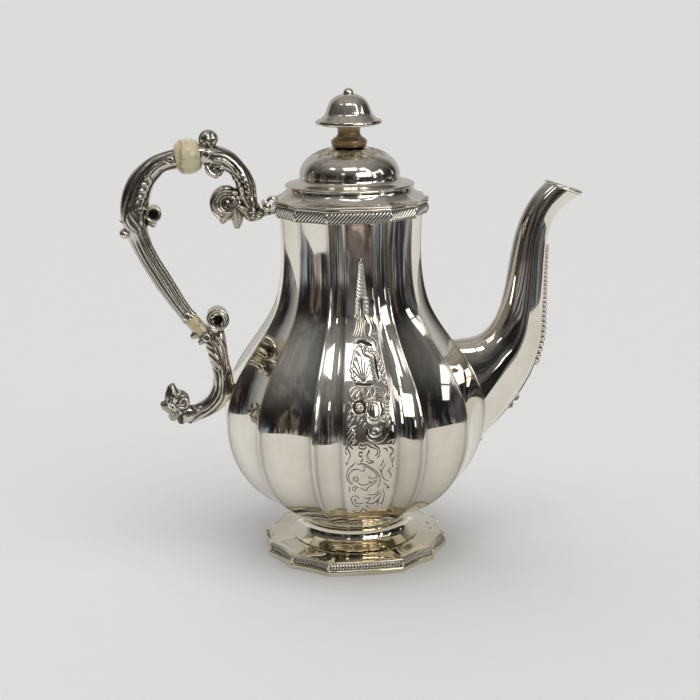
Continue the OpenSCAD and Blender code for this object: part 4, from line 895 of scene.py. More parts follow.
each(panel.line, [
    (349.4, 439, 347.2, 444, 348.2, 449.6, 350.2, 454.4, 349, 459.6, 347.2, 464.4),
    (351.4, 441.4, 350.2, 445, 352.8, 448.6), (346.4, 446, 345.6, 451, 346.6, 454.4), (346, 461.6, 346.6, 466),
    (353.4, 439.4, 356.6, 442.4, 353.4, 443, 351.6, 440.6),
    (360, 443.6, 358.8, 447, 361.6, 448.6, 364.8, 448.4, 366, 445.4, 364, 443.6, 362.8, 445.8, 361, 443.6),
    (366.2, 442.8, 370.6, 446.4, 376.2, 448.4),
    (369, 442.6, 375.4, 445.2, 379.2, 449, 379.4, 454.6, 377, 457.8),
    (376.2, 448.4, 377.6, 452.4, 375.6, 455.4), (383.6, 448.1, 386.4, 448.4, 387.6, 450.8),
    (389, 446.2, 393.6, 449.6, 394.6, 455, 392.6, 461, 392.4, 467),
    (391.6, 447.4, 392.4, 452, 390.4, 455.4, 391.4, 461.4), (388, 443, 391.6, 440.6, 394.6, 440.4, 393, 443.6),
    (391.2, 468, 388.6, 471, 391.2, 474.6, 390.4, 478), (383.6, 459.5, 382.4, 463, 380.2, 466.2),
    (385.6, 463.5, 382, 470, 382, 475, 384.4, 479.4, 388.9, 480.9), (379.4, 468.6, 381.4, 472.6),
    (383.6, 482.3, 386, 485, 389, 487.6, 386.4, 487.8),
    (355.8, 461.5, 353.6, 464.6, 350.1, 467.4, 347.4, 472, 346.8, 477, 348.4, 481.6, 352.1, 485.4),
    (361.5, 471.4, 358.6, 469.6, 354.8, 469.4, 351, 471.6, 348.9, 475.6, 349.6, 480.6, 353, 484.4),
    (356.8, 464.2, 362, 463.6, 366.6, 465, 373.5, 469.4, 378.2, 473.8, 380.2, 479, 379.4, 484.4, 376.9, 487.8),
    (363, 465.6, 369.6, 468.6, 375.6, 473.4, 378, 478), (361.5, 471.4, 364.4, 470.4, 364.2, 467),
    (357.5, 482, 361, 484.8, 366, 485, 371.5, 482.4), (371, 475.6, 368.8, 478, 372.6, 478.6, 377.4, 477.2),
    (368.4, 481, 372, 482.4, 377.6, 479.8), (349.4, 492, 349.2, 487), (352.6, 491, 353, 487.4, 356.4, 486.4),
    (354.6, 492, 355.6, 488.6, 358.6, 487.6),
    (360.6, 488.2, 363.4, 489.4, 366.4, 490.6, 368.6, 487, 373, 484.4, 377, 481.4),
    (367.5, 494.3, 371.4, 495, 375.5, 494.2, 379.6, 489.6), (372.9, 499, 377, 495.4, 380.9, 492),
    (366.2, 503.2, 371, 504, 375.6, 502, 379.4, 498, 381.6, 494.2),
    (383, 489, 384.2, 494, 383.6, 499, 381.4, 503.8, 379.6, 503),
    (364.2, 497.6, 367, 499, 370.2, 497.7, 368.8, 501, 366, 503), (377, 503, 378.6, 499.6, 377.4, 505),
    (359.6, 499, 357, 496.4, 353, 496.6, 351.4, 499, 352.6, 503, 356.1, 506.6, 359.8, 506.2),
    (356.8, 499.6, 354.8, 499.4, 356, 502.6, 358.4, 504, 363.6, 503.2), (363.5, 507, 362.4, 510, 359.8, 512.6),
    (365.6, 505.6, 368.8, 507.6), (364.8, 509, 367.6, 513.6), (352.4, 511, 356.4, 512.8, 360, 512.8),
    (363, 452.4, 360, 452.2, 359, 455, 361.2, 456.6, 362, 454.6), (362.4, 457, 362.6, 460, 360.6, 461.6),
    (367.6, 450.6, 369.2, 450.8, 367, 455, 367.4, 459.4),
    (366, 461, 370, 463, 373.4, 461.6, 369.6, 459.8, 368, 456)
], width=0.47, height=0.26, ends=(0.6, 0.6))
panel.spiral((355.9, 479.6), 3.2, 1.1, 150, 450, width=0.5, height=0.26, ends=(0.6, 0.5), cut=True)

PANEL_ROWS, PANEL_COLS = 620, 116
SIDE_LIMIT = 74.88  # the panels stay inside the solids' box
PANEL_PROUD, EDGE_SUNK, PANEL_THICK = 0.015, 0.3, 0.45
border_z, border_a = (np.minimum(np.arange(n), np.arange(n)[::-1]) for n in (PANEL_ROWS, PANEL_COLS))
edge = np.minimum(border_z[:, None], border_a[None])
for name, middle in (("front_engraving", 270), ("back_engraving", 90)):
    low, high = np.interp([PANEL_LOW, PANEL_HIGH], length_z, arc)
    z = np.interp(np.linspace(low, high, PANEL_ROWS), arc, length_z)
    a = middle + np.linspace(-1, 1, PANEL_COLS) * (STRIP - 0.15)
    skin = polar(ridge_r(z)[:, None] * (1 - softened(flute_sharp, a, FLUTE_SOFT))[None], a[None], z[:, None])
    out = np.cross(np.gradient(skin, axis=1), np.gradient(skin, axis=0))
    out /= np.linalg.norm(out, axis=-1, keepdims=True)
    rise, dark = panel.at(skin)
    dark = unit(dark * np.where(z < 96, 1.5, 1)[:, None])  # the lower, cut part is the darkest
    lift = np.where(edge == 0, -EDGE_SUNK, PANEL_PROUD) + np.where(edge > 1, rise, 0)
    under = (skin - PANEL_THICK * out)[:, [115, 86, 58, 29, 0]]
    rings = np.concatenate([skin + lift[..., None] * out, under], 1)
    rings[..., 1] = np.clip(rings[..., 1], -SIDE_LIMIT, SIDE_LIMIT)
    painted_shade_and_discolour = np.concatenate([np.where(edge > 1, dark, 0), np.zeros((PANEL_ROWS, under.shape[1]))], 1)
    solid(name, rings, SILVER, painted_shade_and_discolour=painted_shade_and_discolour, sharp=0)

# ---------------------------------------------------------------- handle
# the pins' places in (x, z), and the angles of the spigots that they hold
GRIP_LOW, GRIP_HIGH = (-93.0, 142.3), (-97.3, 233.6)
MOUNT_LOW, MOUNT_HIGH = (-86.2, 134.1), (-83.5, 235.6)
UPPER_AXIS, LOWER_AXIS = 8, -50.2
grip_line = [(-96.8, 139.2, -89.2, 145.4, 4.9), (-99.3, 143.4, -91.2, 147.0, 4.7),
             (-104.1, 150.1, -94.8, 152.6, 5), (-109.4, 157.9, -99.4, 161.2, 5),
             (-114.6, 166.7, -104.3, 170.2, 5), (-119.7, 176.1, -109.3, 179.2, 5),
             (-124.6, 187, -113.2, 188.8, 5.6), (-128.6, 199, -114.4, 199.6, 6.6),
             (-128.5, 211.5, -113, 210.4, 6.6), (-124.4, 222.6, -110.4, 218.6, 6.6),
             (-117.4, 230.4, -106.6, 223.6, 6.2), (-109.4, 235.4, -103, 226.8, 5.6),
             (-98.05, 238.9, -96.55, 228.3, 5.4)]
grip = Relief()
grip.draw((172, 152.1), (155.9, 157.9), (143.3, 168.8), (133.5, 182.6), (126.6, 198.1), (122.9, 211.8),
          (122.9, 221), width=1.9, height=0.3)
grip.line((169.7, 155.6), (157.1, 161.3), (145.6, 170.5), (136.4, 183.1), (129.7, 198.1), (126.1, 211.8),
          width=0.6)
grip.line((164, 163), (152.5, 168.2), (143.3, 177.4), (137, 188.9), (132.4, 202.7), (128.9, 215.3), width=0.55)
each(grip.line, [
    (158.2, 159.6, 149, 165.9, 140.1, 176.3, 133.5, 188.9, 129.3, 202.7),
    (144.4, 177.4, 140.1, 185.4, 136.6, 194.6, 134.3, 205), (131.8, 211.8, 134.7, 218.7, 138.5, 227.9)
], width=0.5)
grip.line((133.5, 184.3), (129.5, 194.6), (126.1, 207.2), (124.7, 217.6), width=0.45)
grip.draw((174.3, 160.8), (164, 161.9), (155.9, 165.9), (149.6, 172.2), (145.6, 179.1), width=1.5, height=0.5,
          ends=(0.5, 0.8))
for x, y, s in ((150.4, 182.6, 1), (147.3, 188.9, 1), (145.0, 195.2, 0.95), (142.7, 201.3, 0.9),
                (140.8, 206.7, 0.8)):
    hook = np.array([(-6.3, -5.7), (-2.3, -4.6), (0, -1.4), (-1.4, 2.1), (-4.8, 1.4)])
    grip.draw(*((x, y) + s * hook), width=1.35, height=0.6, ends=(0.4, 0.5))
grip.draw((178.9, 167.6), (169.7, 170.5), (161.7, 176.3), (155.3, 184.3), (151, 193.5), (149, 202.7),
          (150.4, 209.5), width=1.5, height=0.45)
grip.line((175.4, 165.9), (167.4, 168.4), (159.4, 174), (153, 182), (148.5, 191.7), (146.2, 200.4), width=0.7)
grip.draw((130.1, 211.8), (133.5, 217.6), (137.6, 223.3), (140.1, 230.8), width=2.6, height=0.55,
          ends=(0.9, 0.2))
grip.draw((127.2, 214.1), (128.4, 221), (131.8, 226.8), (137, 231.9), width=2.0, height=0.5, ends=(0.9, 0.2))
grip.draw((137.6, 211.8), (139.3, 217.6), (142.1, 223.3), (147.9, 224.7), width=1.8, height=0.45)
grip.draw((134.7, 208.4), (137.6, 207.2), (141, 209), (142.7, 211.8), width=1.3, height=0.5)
grip.spiral((149, 215.5), 9.6, 2.2, 150, 470, width=1.7, height=0.55, ends=(0.8, 0.6))
grip.spiral((122.9, 233.1), 4.6, 1.4, 0, 420, width=1.2, height=0.4, ends=(0.8, 0.6))

GRIP_SIDES, REEDS_END = 96, 186
rings = bar(grip_line, 10, GRIP_SIDES, round_off=0.4)
lower = unit((rings[..., 2].mean(1) - REEDS_END) / 8)
reeded = (1 - lower * lower * (3 - 2 * lower))[:, None]
reed = np.abs(np.sin(6 * (circle(GRIP_SIDES) + 0.22)))[None]
rings, dark = chased(rings, grip)
rings += outward(rings) * (reeded * (0.75 * (reed ** 0.7 - 1)))[..., None]
# painted shade and tarnish darken the reeded part, most in the grooves between the reeds
dark = np.maximum(dark, reeded * np.clip(1.3 - reed / 0.52, 0.16, 1))
made = Shells()
made.tube(rings, dark)
barrel(made, 4.5, 5.2, (-110.8, 203.4))
made.tube(turned(egg(3.1, 4.2, 16), 36, (-127.3, 192.4)))
petal(made, (-119.5, 201), (-126.6, 190.6), 5.4, 5.6, 1.2)
petal(made, (-116.5, 200), (-119.6, 187.6), 5.2, 5.8, -0.8)
petal(made, (-114, 198.6), (-108.6, 199.6), 4.4, 5.4, -1.6)
tip = [(-128, 199.4, -126.4, 198, 2.6), (-129.6, 200, -128.6, 198.4, 1.8), (-130.3, 200.8, -129.8, 199.8, 0.8)]
made.tube(bar(tip, 5, 20, 0.1))
made.make("handle_grip_chased", CAST, "handle_grip")

mount = Relief()
mount.draw((216.8, 147), (231.7, 152.7), (243.7, 162.5), (251.4, 174), (254.9, 186.6), (255.3, 198.1),
           width=1.7, height=0.45)
mount.line((216.2, 150.8), (229.4, 155.8), (240.6, 165.3), (247.5, 176.3), (251, 187.7), (251.9, 198.1),
           width=0.6)
mount.draw((213.3, 154.4), (224.8, 155.4), (235.1, 161.6), (242, 170.5), (246.6, 182), (248.3, 193.5),
           width=2.3, height=0.35)
mount.line((220.2, 158.5), (230.5, 162.7), (238.3, 171.1), (243.2, 182), (245.2, 193.5), width=0.55)
mount.draw((213.9, 159.6), (223.1, 160.4), (230.5, 165.3), (234.6, 172.2), width=2.0, height=0.5)
mount.draw((205.9, 165.3), (209, 171.7), (215, 176.5), (219.1, 174), width=2.6, height=0.55)
mount.draw((213.3, 165.3), (220.2, 167.3), (227.1, 168.2), (231.9, 171.9), width=1.9, height=0.55)
mount.line((211, 164.2), (216.8, 166.1), (218.1, 172.2), width=0.8)
mount.line((223.1, 170.5), (229.4, 171.9), (233.8, 177.4), (235.1, 185.4), width=0.7)
mount.leaf([(233.1, 173), (239.5, 179.7), (244.1, 188.9), (245.5, 199.2)], 5.6, 6, height=0.5)
mount.draw((239.7, 193.5), (245.5, 200.4), (249.5, 207.2), width=2.4, height=0.4)
for r in (19.6, 16.4, 13.2, 10.2, 7.4):
    mount.spiral((226.6, 203.6), r, r * 0.96, 288, -218, width=1.35, height=0.55, ends=(0.5, 0.5))
mount.draw((230.8, 195.8), (233.4, 199.2), (231.7, 203.2), (229.4, 205.5), width=1.9, height=0.5)
mount.draw((238, 205.2), width=4.4, height=0.75, ends=(1, 1))
mount.draw((234.6, 199.2), (238.6, 197.5), (242.6, 200.4), width=1.8, height=0.5)
for x, y in ((224.8, 221.9), (230.5, 226.5), (237.7, 223.3), (245.5, 227.7), (249.1, 220.1)):
    root = np.array([237.7, 210.7])
    mount.draw(root, 0.45 * root + 0.55 * np.array([x, y]), (x, y), width=2.7, height=0.6, ends=(0.5, 0.35))
for x, y, w in ((253.5, 210.7, 2.6), (260.4, 206.1, 3.9), (258.3, 217.6, 3), (266.4, 213.2, 2.7),
                (269.8, 205.2, 2.4), (274.4, 206.3, 2), (252.3, 216.7, 2.4), (259.5, 200.4, 2.2),
                (250.3, 211.8, 1.8)):
    mount.draw((x, y), width=w, height=0.3 * w, ends=(1, 1))
mount.draw((250.6, 221.6), (258.1, 219.6), (265.6, 216.2), width=1.2, height=0.4)
each(mount.draw, [
    (201.3, 141.2, 203.6, 134.9, 208.5, 130.6), (217.7, 141.8, 216.5, 135.5, 213.3, 130.6),
    (209, 144.7, 207.3, 137.2, 210.1, 130.6), (213.9, 143.5, 213.9, 137.2, 211.9, 130.9)
], width=1.9, height=0.5, ends=(0.6, 0.4))
upper_line = [(-84.3, 241.5, -82.65, 229.65, 6), (-81.6, 241.4, -80.6, 229.0, 6.2),
              (-75.4, 240.2, -76.6, 227.2, 6.4), (-67, 237, -70.6, 226, 6.4), (-61.2, 231.6, -66.6, 223, 6.4),
              (-56.2, 224.6, -64.6, 218.4, 6.4), (-53.2, 216.6, -63.4, 212.8, 6.4),
              (-52.6, 209, -61.4, 205, 6.4), (-51.6, 204, -58, 197.6, 6.4), (-49.4, 202.6, -51, 198.2, 6)]
EYE_HIGH = (-70.4, 207.4)  # the middle of the upper mount's scroll
made = Shells()
made.tube(*chased(bar(upper_line, 10, 96, round_off=0.5), mount))
made.tube(*chased(bar(scroll(EYE_HIGH, (8.2, -5.2), (5.6, -2.2), 50, 300, 5.4), 9, 64, round_off=0.6), mount))
made.tube(*chased(turned(disc_profile(8.6, 3.9, rim=0.2, sunk=0.5, rings=26), 72, EYE_HIGH), mount))
made.tube(*chased(turned(egg(5.3, 5.2, 30), 72, (-78.9, 243.6)), mount))
spur = [(-56, 204.6, -56, 197.4, 5.6), (-52.5, 204.3, -53.5, 198.6, 6.0), (-49, 203.5, -49.4, 199.8, 6.1),
        (-45.5, 203.1, -45.6, 200.6, 6.2), (-42.4, 203.1, -42.4, 200.7, 6.0)]
made.tube(*chased(bar(spur, 8, 64, 0.2), mount))
for tip, wide, bend in (((-73.8, 196.4), 7.2, -0.8), ((-64.2, 192.8), 7.4, 0.4), ((-55.8, 198.4), 6.6, 1)):
    petal(made, (-64.6, 207), tip, wide, 6.4, bend)
lobe = disc_profile(5.5, 5.7, rim=0.62, sunk=1.1, boss=0.6, rings=16)
made.tube(*chased(turned(lobe, 64, (-75.8, 228.3)), mount))
made.make("handle_upper_casting", CAST, "handle_upper_mount")

low = Relief()
low.spiral((216.2, 321.4), 9.6, 9.2, 120, -330, width=1.9, height=0.5, ends=(0.9, 0.9))
low.draw((212.5, 336.4), (209.6, 329.3), (208, 322.1), (211.6, 316.8), (217.9, 315.9), (221.9, 319.9),
         (221.4, 325.3), width=1.6, height=0.5)
for points, w in (([(192, 341.3), (198.2, 340.4), (204.5, 342.2), (211.6, 347.1)], 2.1),
                  ([(196.9, 347.1), (203.1, 347.1), (210.7, 351.2), (218, 358.8)], 2.1),
                  ([(202.9, 353.6), (208, 355.6), (214.7, 361.4), (220.1, 369)], 2.0),
                  ([(208.9, 361.4), (212.9, 364.6), (217, 370.4)], 1.7)):
    low.draw(*points, width=w, height=0.65, ends=(0.7, 0.5))
each(low.draw, [
    (212.5, 340, 219.2, 347.1, 222.8, 357.9, 222.8, 370.4, 221.4, 382.9),
    (216.1, 337.8, 222.8, 345.4, 225.7, 356.1, 226.3, 368.6, 225, 379.3),
    (219.2, 338.7, 225.4, 350.7, 228.4, 364.1, 229, 373)
], width=1.5, height=0.4)
each(low.draw, [
    (211.6, 366.8, 214.5, 373.9, 215.4, 383.8, 212.7, 392.7, 207.1, 399.6, 200, 403.2, 194.6, 402.5),
    (217.7, 369.5, 220.5, 377.5, 219.8, 388.2, 216.2, 397.1, 210, 405.2, 202.7, 410.1, 197.3, 412.3),
    (223.4, 373.9, 222.8, 387.3, 220.1, 398.5, 212.5, 408.3, 200.9, 417.2, 190.2, 423.9)
], width=2.0, height=0.45)
each(low.line, [
    (215.6, 368.6, 217.7, 375.7, 217.4, 386.4, 214.1, 395.2, 208.2, 402.5, 201.8, 406.5),
    (221.4, 373, 221.4, 387.3, 218.6, 397.6, 211.4, 406.8, 201.8, 413.7)
], width=0.6)
for r, start, sweep in ((11.4, 205, 150), (8.9, 200, 160), (6.6, 190, 170)):
    low.spiral((183.2, 398.5), r, r * 0.94, start, sweep, width=1.15, height=0.5, ends=(0.5, 0.5))
low.spiral((183.2, 402.7), 6.2, 1.8, 160, -500, width=1.2, height=0.55, ends=(0.7, 0.6))
low.draw((177.7, 408.8), (181.2, 414.1), (187.5, 416.8), (194.6, 415), (200, 413.2), width=1.4, height=0.5)
low.draw((192, 404.3), (194.6, 408.8), (200, 410.1), width=1.3, height=0.5)
low.draw((175.4, 388.2), (170.1, 392.7), (168.3, 399.8), (170.1, 406.1), width=3.2, height=0.5, ends=(0.5, 0.6))
low.draw((163.4, 408.6), (169.2, 405.9), (175.4, 410.1), width=2.6, height=0.5, ends=(0.3, 0.7))
each(low.draw, [
    (176.8, 425.5, 178.4, 419.9, 182.1, 416.8), (181.4, 425.9, 183.5, 420.8, 187.5, 417.7),
    (186.2, 425.5, 188.4, 421.1, 192.9, 417.7)
], width=2.2, height=0.5, ends=(0.4, 0.7))
lower_line = [(-90.0, 131.0, -82.4, 137.2, 4.9), (-86.5, 131.0, -76.5, 138.6, 4.7),
              (-84.8, 126.5, -73.6, 133.0, 4.9), (-83.4, 121, -72.6, 123.5, 5), (-82.2, 116.5, -71.8, 116.2, 5),
              (-81.2, 110, -70, 108.4, 5), (-81.8, 102, -69.6, 101, 5), (-84.2, 96.4, -71.5, 94.5, 5),
              (-88.6, 92.4, -78.6, 86.8, 4.8), (-94, 90.6, -91.4, 81.4, 4.6), (-99, 91.4, -99.4, 80.8, 4.4)]
EYE_LOW = (-77.4, 141.8)  # the middle of the lower mount's scroll
made = Shells()
made.tube(*chased(bar(lower_line, 10, 96, round_off=0.5), low))
made.tube(*chased(bar(scroll(EYE_LOW, (4.4, -1.6), (4.2, -1.2), -60, 270, 4.2), 9, 56, round_off=0.8), low))
barrel(made, 6.6, 4.9, EYE_LOW, rim=0.34, sunk=2.2)
made.tube(*chased(turned(disc_profile(6.2, 5.0, rim=0.3, sunk=0.5, rings=22), 72, (-101.6, 93)), low))
for root, tip, wide, thick, bend, dark in (
        ((-100.6, 90), (-106.4, 104), 9.6, 4.8, 2, 0.35), ((-101.4, 92), (-111.8, 91), 10, 4.5, 1, 0.35),
        ((-99.6, 90), (-107, 83), 8.6, 4.5, -0.6, 0.35), ((-98, 88), (-101.4, 80.2), 7.6, 4.2, 0, 0.8),
        ((-94.6, 87), (-96, 80.2), 6.4, 4.2, 0, 0.8), ((-84.6, 134.6), (-93.4, 131.2), 6, 4.5, -0.6, 0.1),
        ((-82.6, 131), (-89, 127.2), 5, 4.7, -0.6, 0.1)):
    petal(made, root, tip, wide, thick, bend, dark)
made.make("handle_lower_casting", CAST, "handle_lower_mount")

# the insulators
BEAD_HALF, SLEEVE_HALF = 7, 5.3
t = np.linspace(-1, 1, 40)
belly = 5.7 + 4.3 * np.sqrt(unit(1 - np.abs(t) ** 2.1))
v = circle(72)[None]
along = (BEAD_HALF * t)[:, None]
streak = np.exp(-((along + 3.4 - 1.1 * np.sin(2 * v + 0.6) - 0.35 * np.sin(7 * v)) / 0.5) ** 2)
streak += 0.4 * np.exp(-((along + 4.2 - np.sin(2 * v + 0.6)) / 1.3) ** 2)
bead = turned(np.stack([belly, BEAD_HALF * t], 1), 72, (-90.4, 234.6), UPPER_AXIS)
solid("upper_ivory_bead", bead, IVORY, "upper_insulator", painted_shade_and_discolour=0.45 * streak)
t = np.linspace(-1, 1, 16)
waist = np.stack([4.42 - 0.18 * (1 - t * t), SLEEVE_HALF * t], 1)
sleeve = np.vstack([[4.0, -SLEEVE_HALF], waist, [4.0, SLEEVE_HALF]])
solid("lower_ivory_sleeve", turned(sleeve, 64, (-89.6, 138.2), LOWER_AXIS), IVORY, "lower_insulator")

# the pins through the spigots: at both ends a bright ring round a dimple, 3 mm from a socket's mouth, with
# painted shade in the dimple and on the ring's outer side
RING = [[0.03, 0.35], [0.6, 0.38], [0.95, 0.3], [1.15, 0.45], [1.35, 1.0], [1.7, 1.35], [2.1, 1.25], [2.4, 0.9],
        [2.5, 0.3], [2.5, -0.4]]
RING_DARK = np.array([0.7, 0.75, 0.9, 0.9, 0.5, 0, 0, 0.1, 0.6, 0.9])
pins = Shells()
for mouth, angle, socket_r in ((GRIP_LOW, LOWER_AXIS + 180, 4.9), (MOUNT_LOW, LOWER_AXIS, 4.9),
                               (GRIP_HIGH, UPPER_AXIS + 180, 5.4), (MOUNT_HIGH, UPPER_AXIS, 6)):
    at = (mouth[0] + 3 * math.cos(math.radians(angle)), mouth[1] + 3 * math.sin(math.radians(angle)))
    profile = both_ways([[r, socket_r + h - 0.02] for r, h in RING])
    pins.tube(turned(profile, 32, at), np.concatenate([RING_DARK, RING_DARK[::-1]])[:, None])
pins.make("handle_pin_rings", SILVER, "handle_pins", sharp=60)

# ---------------------------------------------------------------- spout
# stations [outer x, outer z, inner x, inner z, half width]
spout_line = np.array([(88, 75.4, 70, 123, 16), (98.5, 89.5, 76.5, 126.3, 14.6), (107, 104, 82, 131.8, 13.2),
                       (112, 120, 85.8, 139, 12.3), (113.2, 138, 88.7, 149, 11.9), (113.7, 155, 91, 161, 11.4),
                       (114.2, 170, 93.2, 173.5, 10.8), (115.4, 183, 95.9, 185.5, 10),
                       (118.6, 192.5, 99.8, 196, 9.3), (124, 199.3, 105, 205, 9.1),
                       (130.5, 203.7, 110, 211, 9.3), (134.4, 206, 112.8, 213.5, 9.6)])
spout_mid = (spout_line[:, :2] + spout_line[:, 2:4]) / 2
spout_arm = (spout_line[:, :2] - spout_line[:, 2:4]) / 2
SPOUT_WALL, SPOUT_FLUTE = 1.3, 0.05
ROOT_Z, ROOT_WIDE, ROOT_TALL = 86, 17, 36.5  # the middle and half sizes of the oval root on the body
spout_p = circle(144)
corners = np.radians([-180, -134, -92, -46, 0, 46, 92, 134, 180])
turn_p = (spout_p + np.pi) % (2 * np.pi) - np.pi


def spout_flute(p):
    """Depth from 0 at a ridge to 1 in the middle of a facet."""
    k = np.clip(np.searchsorted(corners, p, side="right") - 1, 0, 7)
    return bowl(2 * (p - corners[k]) / (corners[k + 1] - corners[k]) - 1)


taps = np.radians([-9, -6, -3, 0, 3, 6, 9])
hollow = sum(spout_flute((turn_p + d + np.pi) % (2 * np.pi) - np.pi) for d in taps) / 7


def surface_x(y, z):
    """Where the body's outside is at y and z, on the spout's side."""
    x = np.full_like(z, 70.0)
    for _ in range(8):
        x = np.sqrt(np.maximum(1, fluted_r(z, np.degrees(np.arctan2(y, x))) ** 2 - y * y))
    return x


def loft(rings, pitch):
    """Rings about pitch millimetres apart on smooth curves through the ones given."""
    gaps = np.linalg.norm(np.diff(rings, axis=0), axis=-1).mean(1)
    slope = np.gradient(rings, np.concatenate([[0], np.cumsum(gaps)]), axis=0)
    out = []
    for a, b, m, n, gap in zip(rings, rings[1:], slope, slope[1:], gaps):
        t = np.linspace(0, 1, max(4, round(gap / pitch)), endpoint=False)[:, None, None]
        out.append(hermite(t, a, m * gap, b, n * gap))
    return np.concatenate(out + [rings[-1:]])


def spout_rings(inset, depth):
    """Rings from the root on the body to the lip, smoothed along, the flutes growing out of a round root."""
    c, u = spout_mid, spout_arm
    k = 1 - inset / np.linalg.norm(u, axis=1, keepdims=True)
    half = spout_line[:, 4:5] - inset
    tube = np.stack([c[:, :1] + k * u[:, :1] * np.cos(spout_p), half * np.sin(spout_p),
                     c[:, 1:] + k * u[:, 1:] * np.cos(spout_p)], -1)
    y = (ROOT_WIDE - inset) * np.sin(spout_p)
    z = ROOT_Z - (ROOT_TALL - inset) * np.cos(spout_p)
    root = np.stack([surface_x(y, z) - 0.5, y, z], -1)
    rings = loft(np.concatenate([root[None], tube[1:]]), 1.8)
    grow = unit((np.linspace(0, 1, len(rings)) - 0.08) / 0.4)[:, None]
    middle = rings.mean(1, keepdims=True)
    return middle + (rings - middle) * (1 - depth * hollow * grow * grow * (3 - 2 * grow))[..., None]


outside, inside = spout_rings(0, SPOUT_FLUTE), spout_rings(SPOUT_WALL, 0)
seam = np.zeros((2 * len(outside), 1))
seam[:2, 0] = (0.9, 0.3)
solid("spout_fluted", np.concatenate([outside, inside[::-1]]), SILVER, "spout_shell", painted_shade_and_discolour=seam, closed=True,
      sharp=60)

# the lip's wire lies on the oval of the last station
WIRE_R = 1.1
mid, u = spout_mid[-1], spout_arm[-1]
long_r, short_r = np.linalg.norm(u) - 0.95, 9.6 - 0.95
e = u / np.linalg.norm(u)
normal = np.array([-e[1], e[0]])
p = circle(96)[:, None]
q = np.arctan2(np.sin(p) / short_r, np.cos(p) / long_r)
v = circle(16)
out, rise = WIRE_R * np.cos(v), WIRE_R * (1 + np.sin(v)) * (0.78 + 0.22 * np.cos(p) ** 2)
a, b = long_r * np.cos(p) + out * np.cos(q), short_r * np.sin(p) + out * np.sin(q)
lip = np.stack([mid[0] + a * e[0] + rise * normal[0], b, mid[1] + a * e[1] + rise * normal[1]], -1)
solid("spout_lip", lip, SILVER, "spout_lip_wire", closed=True, sharp=80)

edge = outside[:, 0][:, [0, 2]]
reach = np.concatenate([[0], np.cumsum(np.linalg.norm(np.diff(edge, axis=0), axis=1))])


def on_edge(s):
    """A point s millimetres up the spout's outer edge, the way along it there and the way out from it."""
    at, ahead = (np.array([np.interp(s + d, reach, edge[:, i]) for i in (0, 1)]) for d in (0, 0.5))
    ahead = ahead - at
    ahead /= np.hypot(*ahead)
    return at, ahead, np.array([ahead[1], -ahead[0]])


PEARLS_LOW, PEARLS_HIGH = 108, 177  # heights
made = Shells()
s, stop = np.interp([PEARLS_HIGH, PEARLS_LOW], edge[:, 1], reach)[::-1]
span = stop - s
# painted shade darkens each pearl towards its ends, where it meets the next
dark = unit(1.15 * np.abs(np.sin(np.radians(np.linspace(-86, 86, 12)))) ** 2.2)[:, None]
while s < stop:
    r = 1.75 - 0.8 * (1 - (stop - s) / span)
    at, ahead, out = on_edge(s)
    tilt = math.degrees(math.atan2(ahead[1], ahead[0]))
    made.tube(turned(egg(r, r * 1.08, 12, 86), 20, at + out * r * 0.75, tilt), dark)
    s += 2 * r
made.make("spout_pearls", ROPE, "spout_ornament", sharp=60)


def wire(shells, points, radius, dark=0.0, flat=1.0):
    """A tapering wire through points in millimetres, its middle radius wide."""
    line = rounded(points)
    ahead = np.gradient(line, axis=0)
    ahead /= np.linalg.norm(ahead, axis=1, keepdims=True)
    side = np.cross(ahead, [0, 1, 0])
    side /= np.maximum(np.linalg.norm(side, axis=1, keepdims=True), 1e-6)
    other = np.cross(side, ahead)
    t = np.linspace(0, 1, len(line))
    r = (radius * (0.3 + 0.7 * np.sin(np.pi * np.clip(t, 0.03, 0.97)) ** 0.6))[:, None, None]
    a = circle(12)[None, :, None]
    shells.tube(line[:, None] + r * (np.cos(a) * side[:, None] + flat * np.sin(a) * other[:, None]), dark)


# the leaf spray below the pearls lies along the spout's outer ridge
made = Shells()
pearls, upper_tuft, lower_tuft, foot_end = np.interp([PEARLS_LOW, 84.5, 60.5, 51], edge[:, 1], reach)
for s0, s1, r in ((lower_tuft - 1, pearls + 1, 1.0), (foot_end, lower_tuft + 1, 0.8)):
    points = [on_edge(s) for s in np.linspace(s0, s1, 14)]
    wire(made, [(at[0] + 0.4 * out[0], 0, at[1] + 0.4 * out[1]) for at, ahead, out in points], r, dark=0.75)
for s, size in ((lower_tuft, 3.6), (upper_tuft, 5)):
    at, ahead, out = on_edge(s)
    for turn in (-1, 1):
        petal(made, at - out * 0.4, at + ahead * size * 1.05 * turn + out * size * 0.34, size * 0.6, 1.7,
              0.5 * turn, 0.35)
        curl = [at + out * 0.3] + [at + ahead * size * along * turn + out * size * up for along, up in
                                   ((0.3, 0.42), (0.7, 0.5), (0.8, 0.25), (0.5, 0.2))]
        wire(made, [(c[0], 0, c[1]) for c in curl], 0.6, dark=0.3, flat=2.4)
    for side in (-1, 1):
        for turn in (-1, -0.3, 0.5, 1.1):
            tip = at + ahead * size * 1.2 * turn - out * 0.5
            wire(made, [(at[0], side * 0.3, at[1]), ((at[0] + tip[0]) / 2 + 0.15, side * 1.6, (at[1] + tip[1])
                                                     / 2), (tip[0] - 0.25, side * 2.9, tip[1])], 0.8, flat=0.7)
made.make("spout_leaf_spray", ROPE, sharp=60)

# ---------------------------------------------------------------- hinge
HINGE = (-47.6, 206.0)
BARREL_R, HOLE_R = 2.5, 1.1


def knuckle(l0, l1):
    """Section of a knuckle from l0 to l1, with eased ends and a turned line near each."""
    r = BARREL_R
    end = [[HOLE_R, 0], [r - 0.35, 0], [r - 0.1, 0.15], [r, 0.35], [r, 0.9], [r - 0.22, 1.05], [r - 0.22, 1.25],
           [r, 1.4]]
    return [[r, l0 + l] for r, l in end] + [[r, l1 - l] for r, l in end[::-1]]


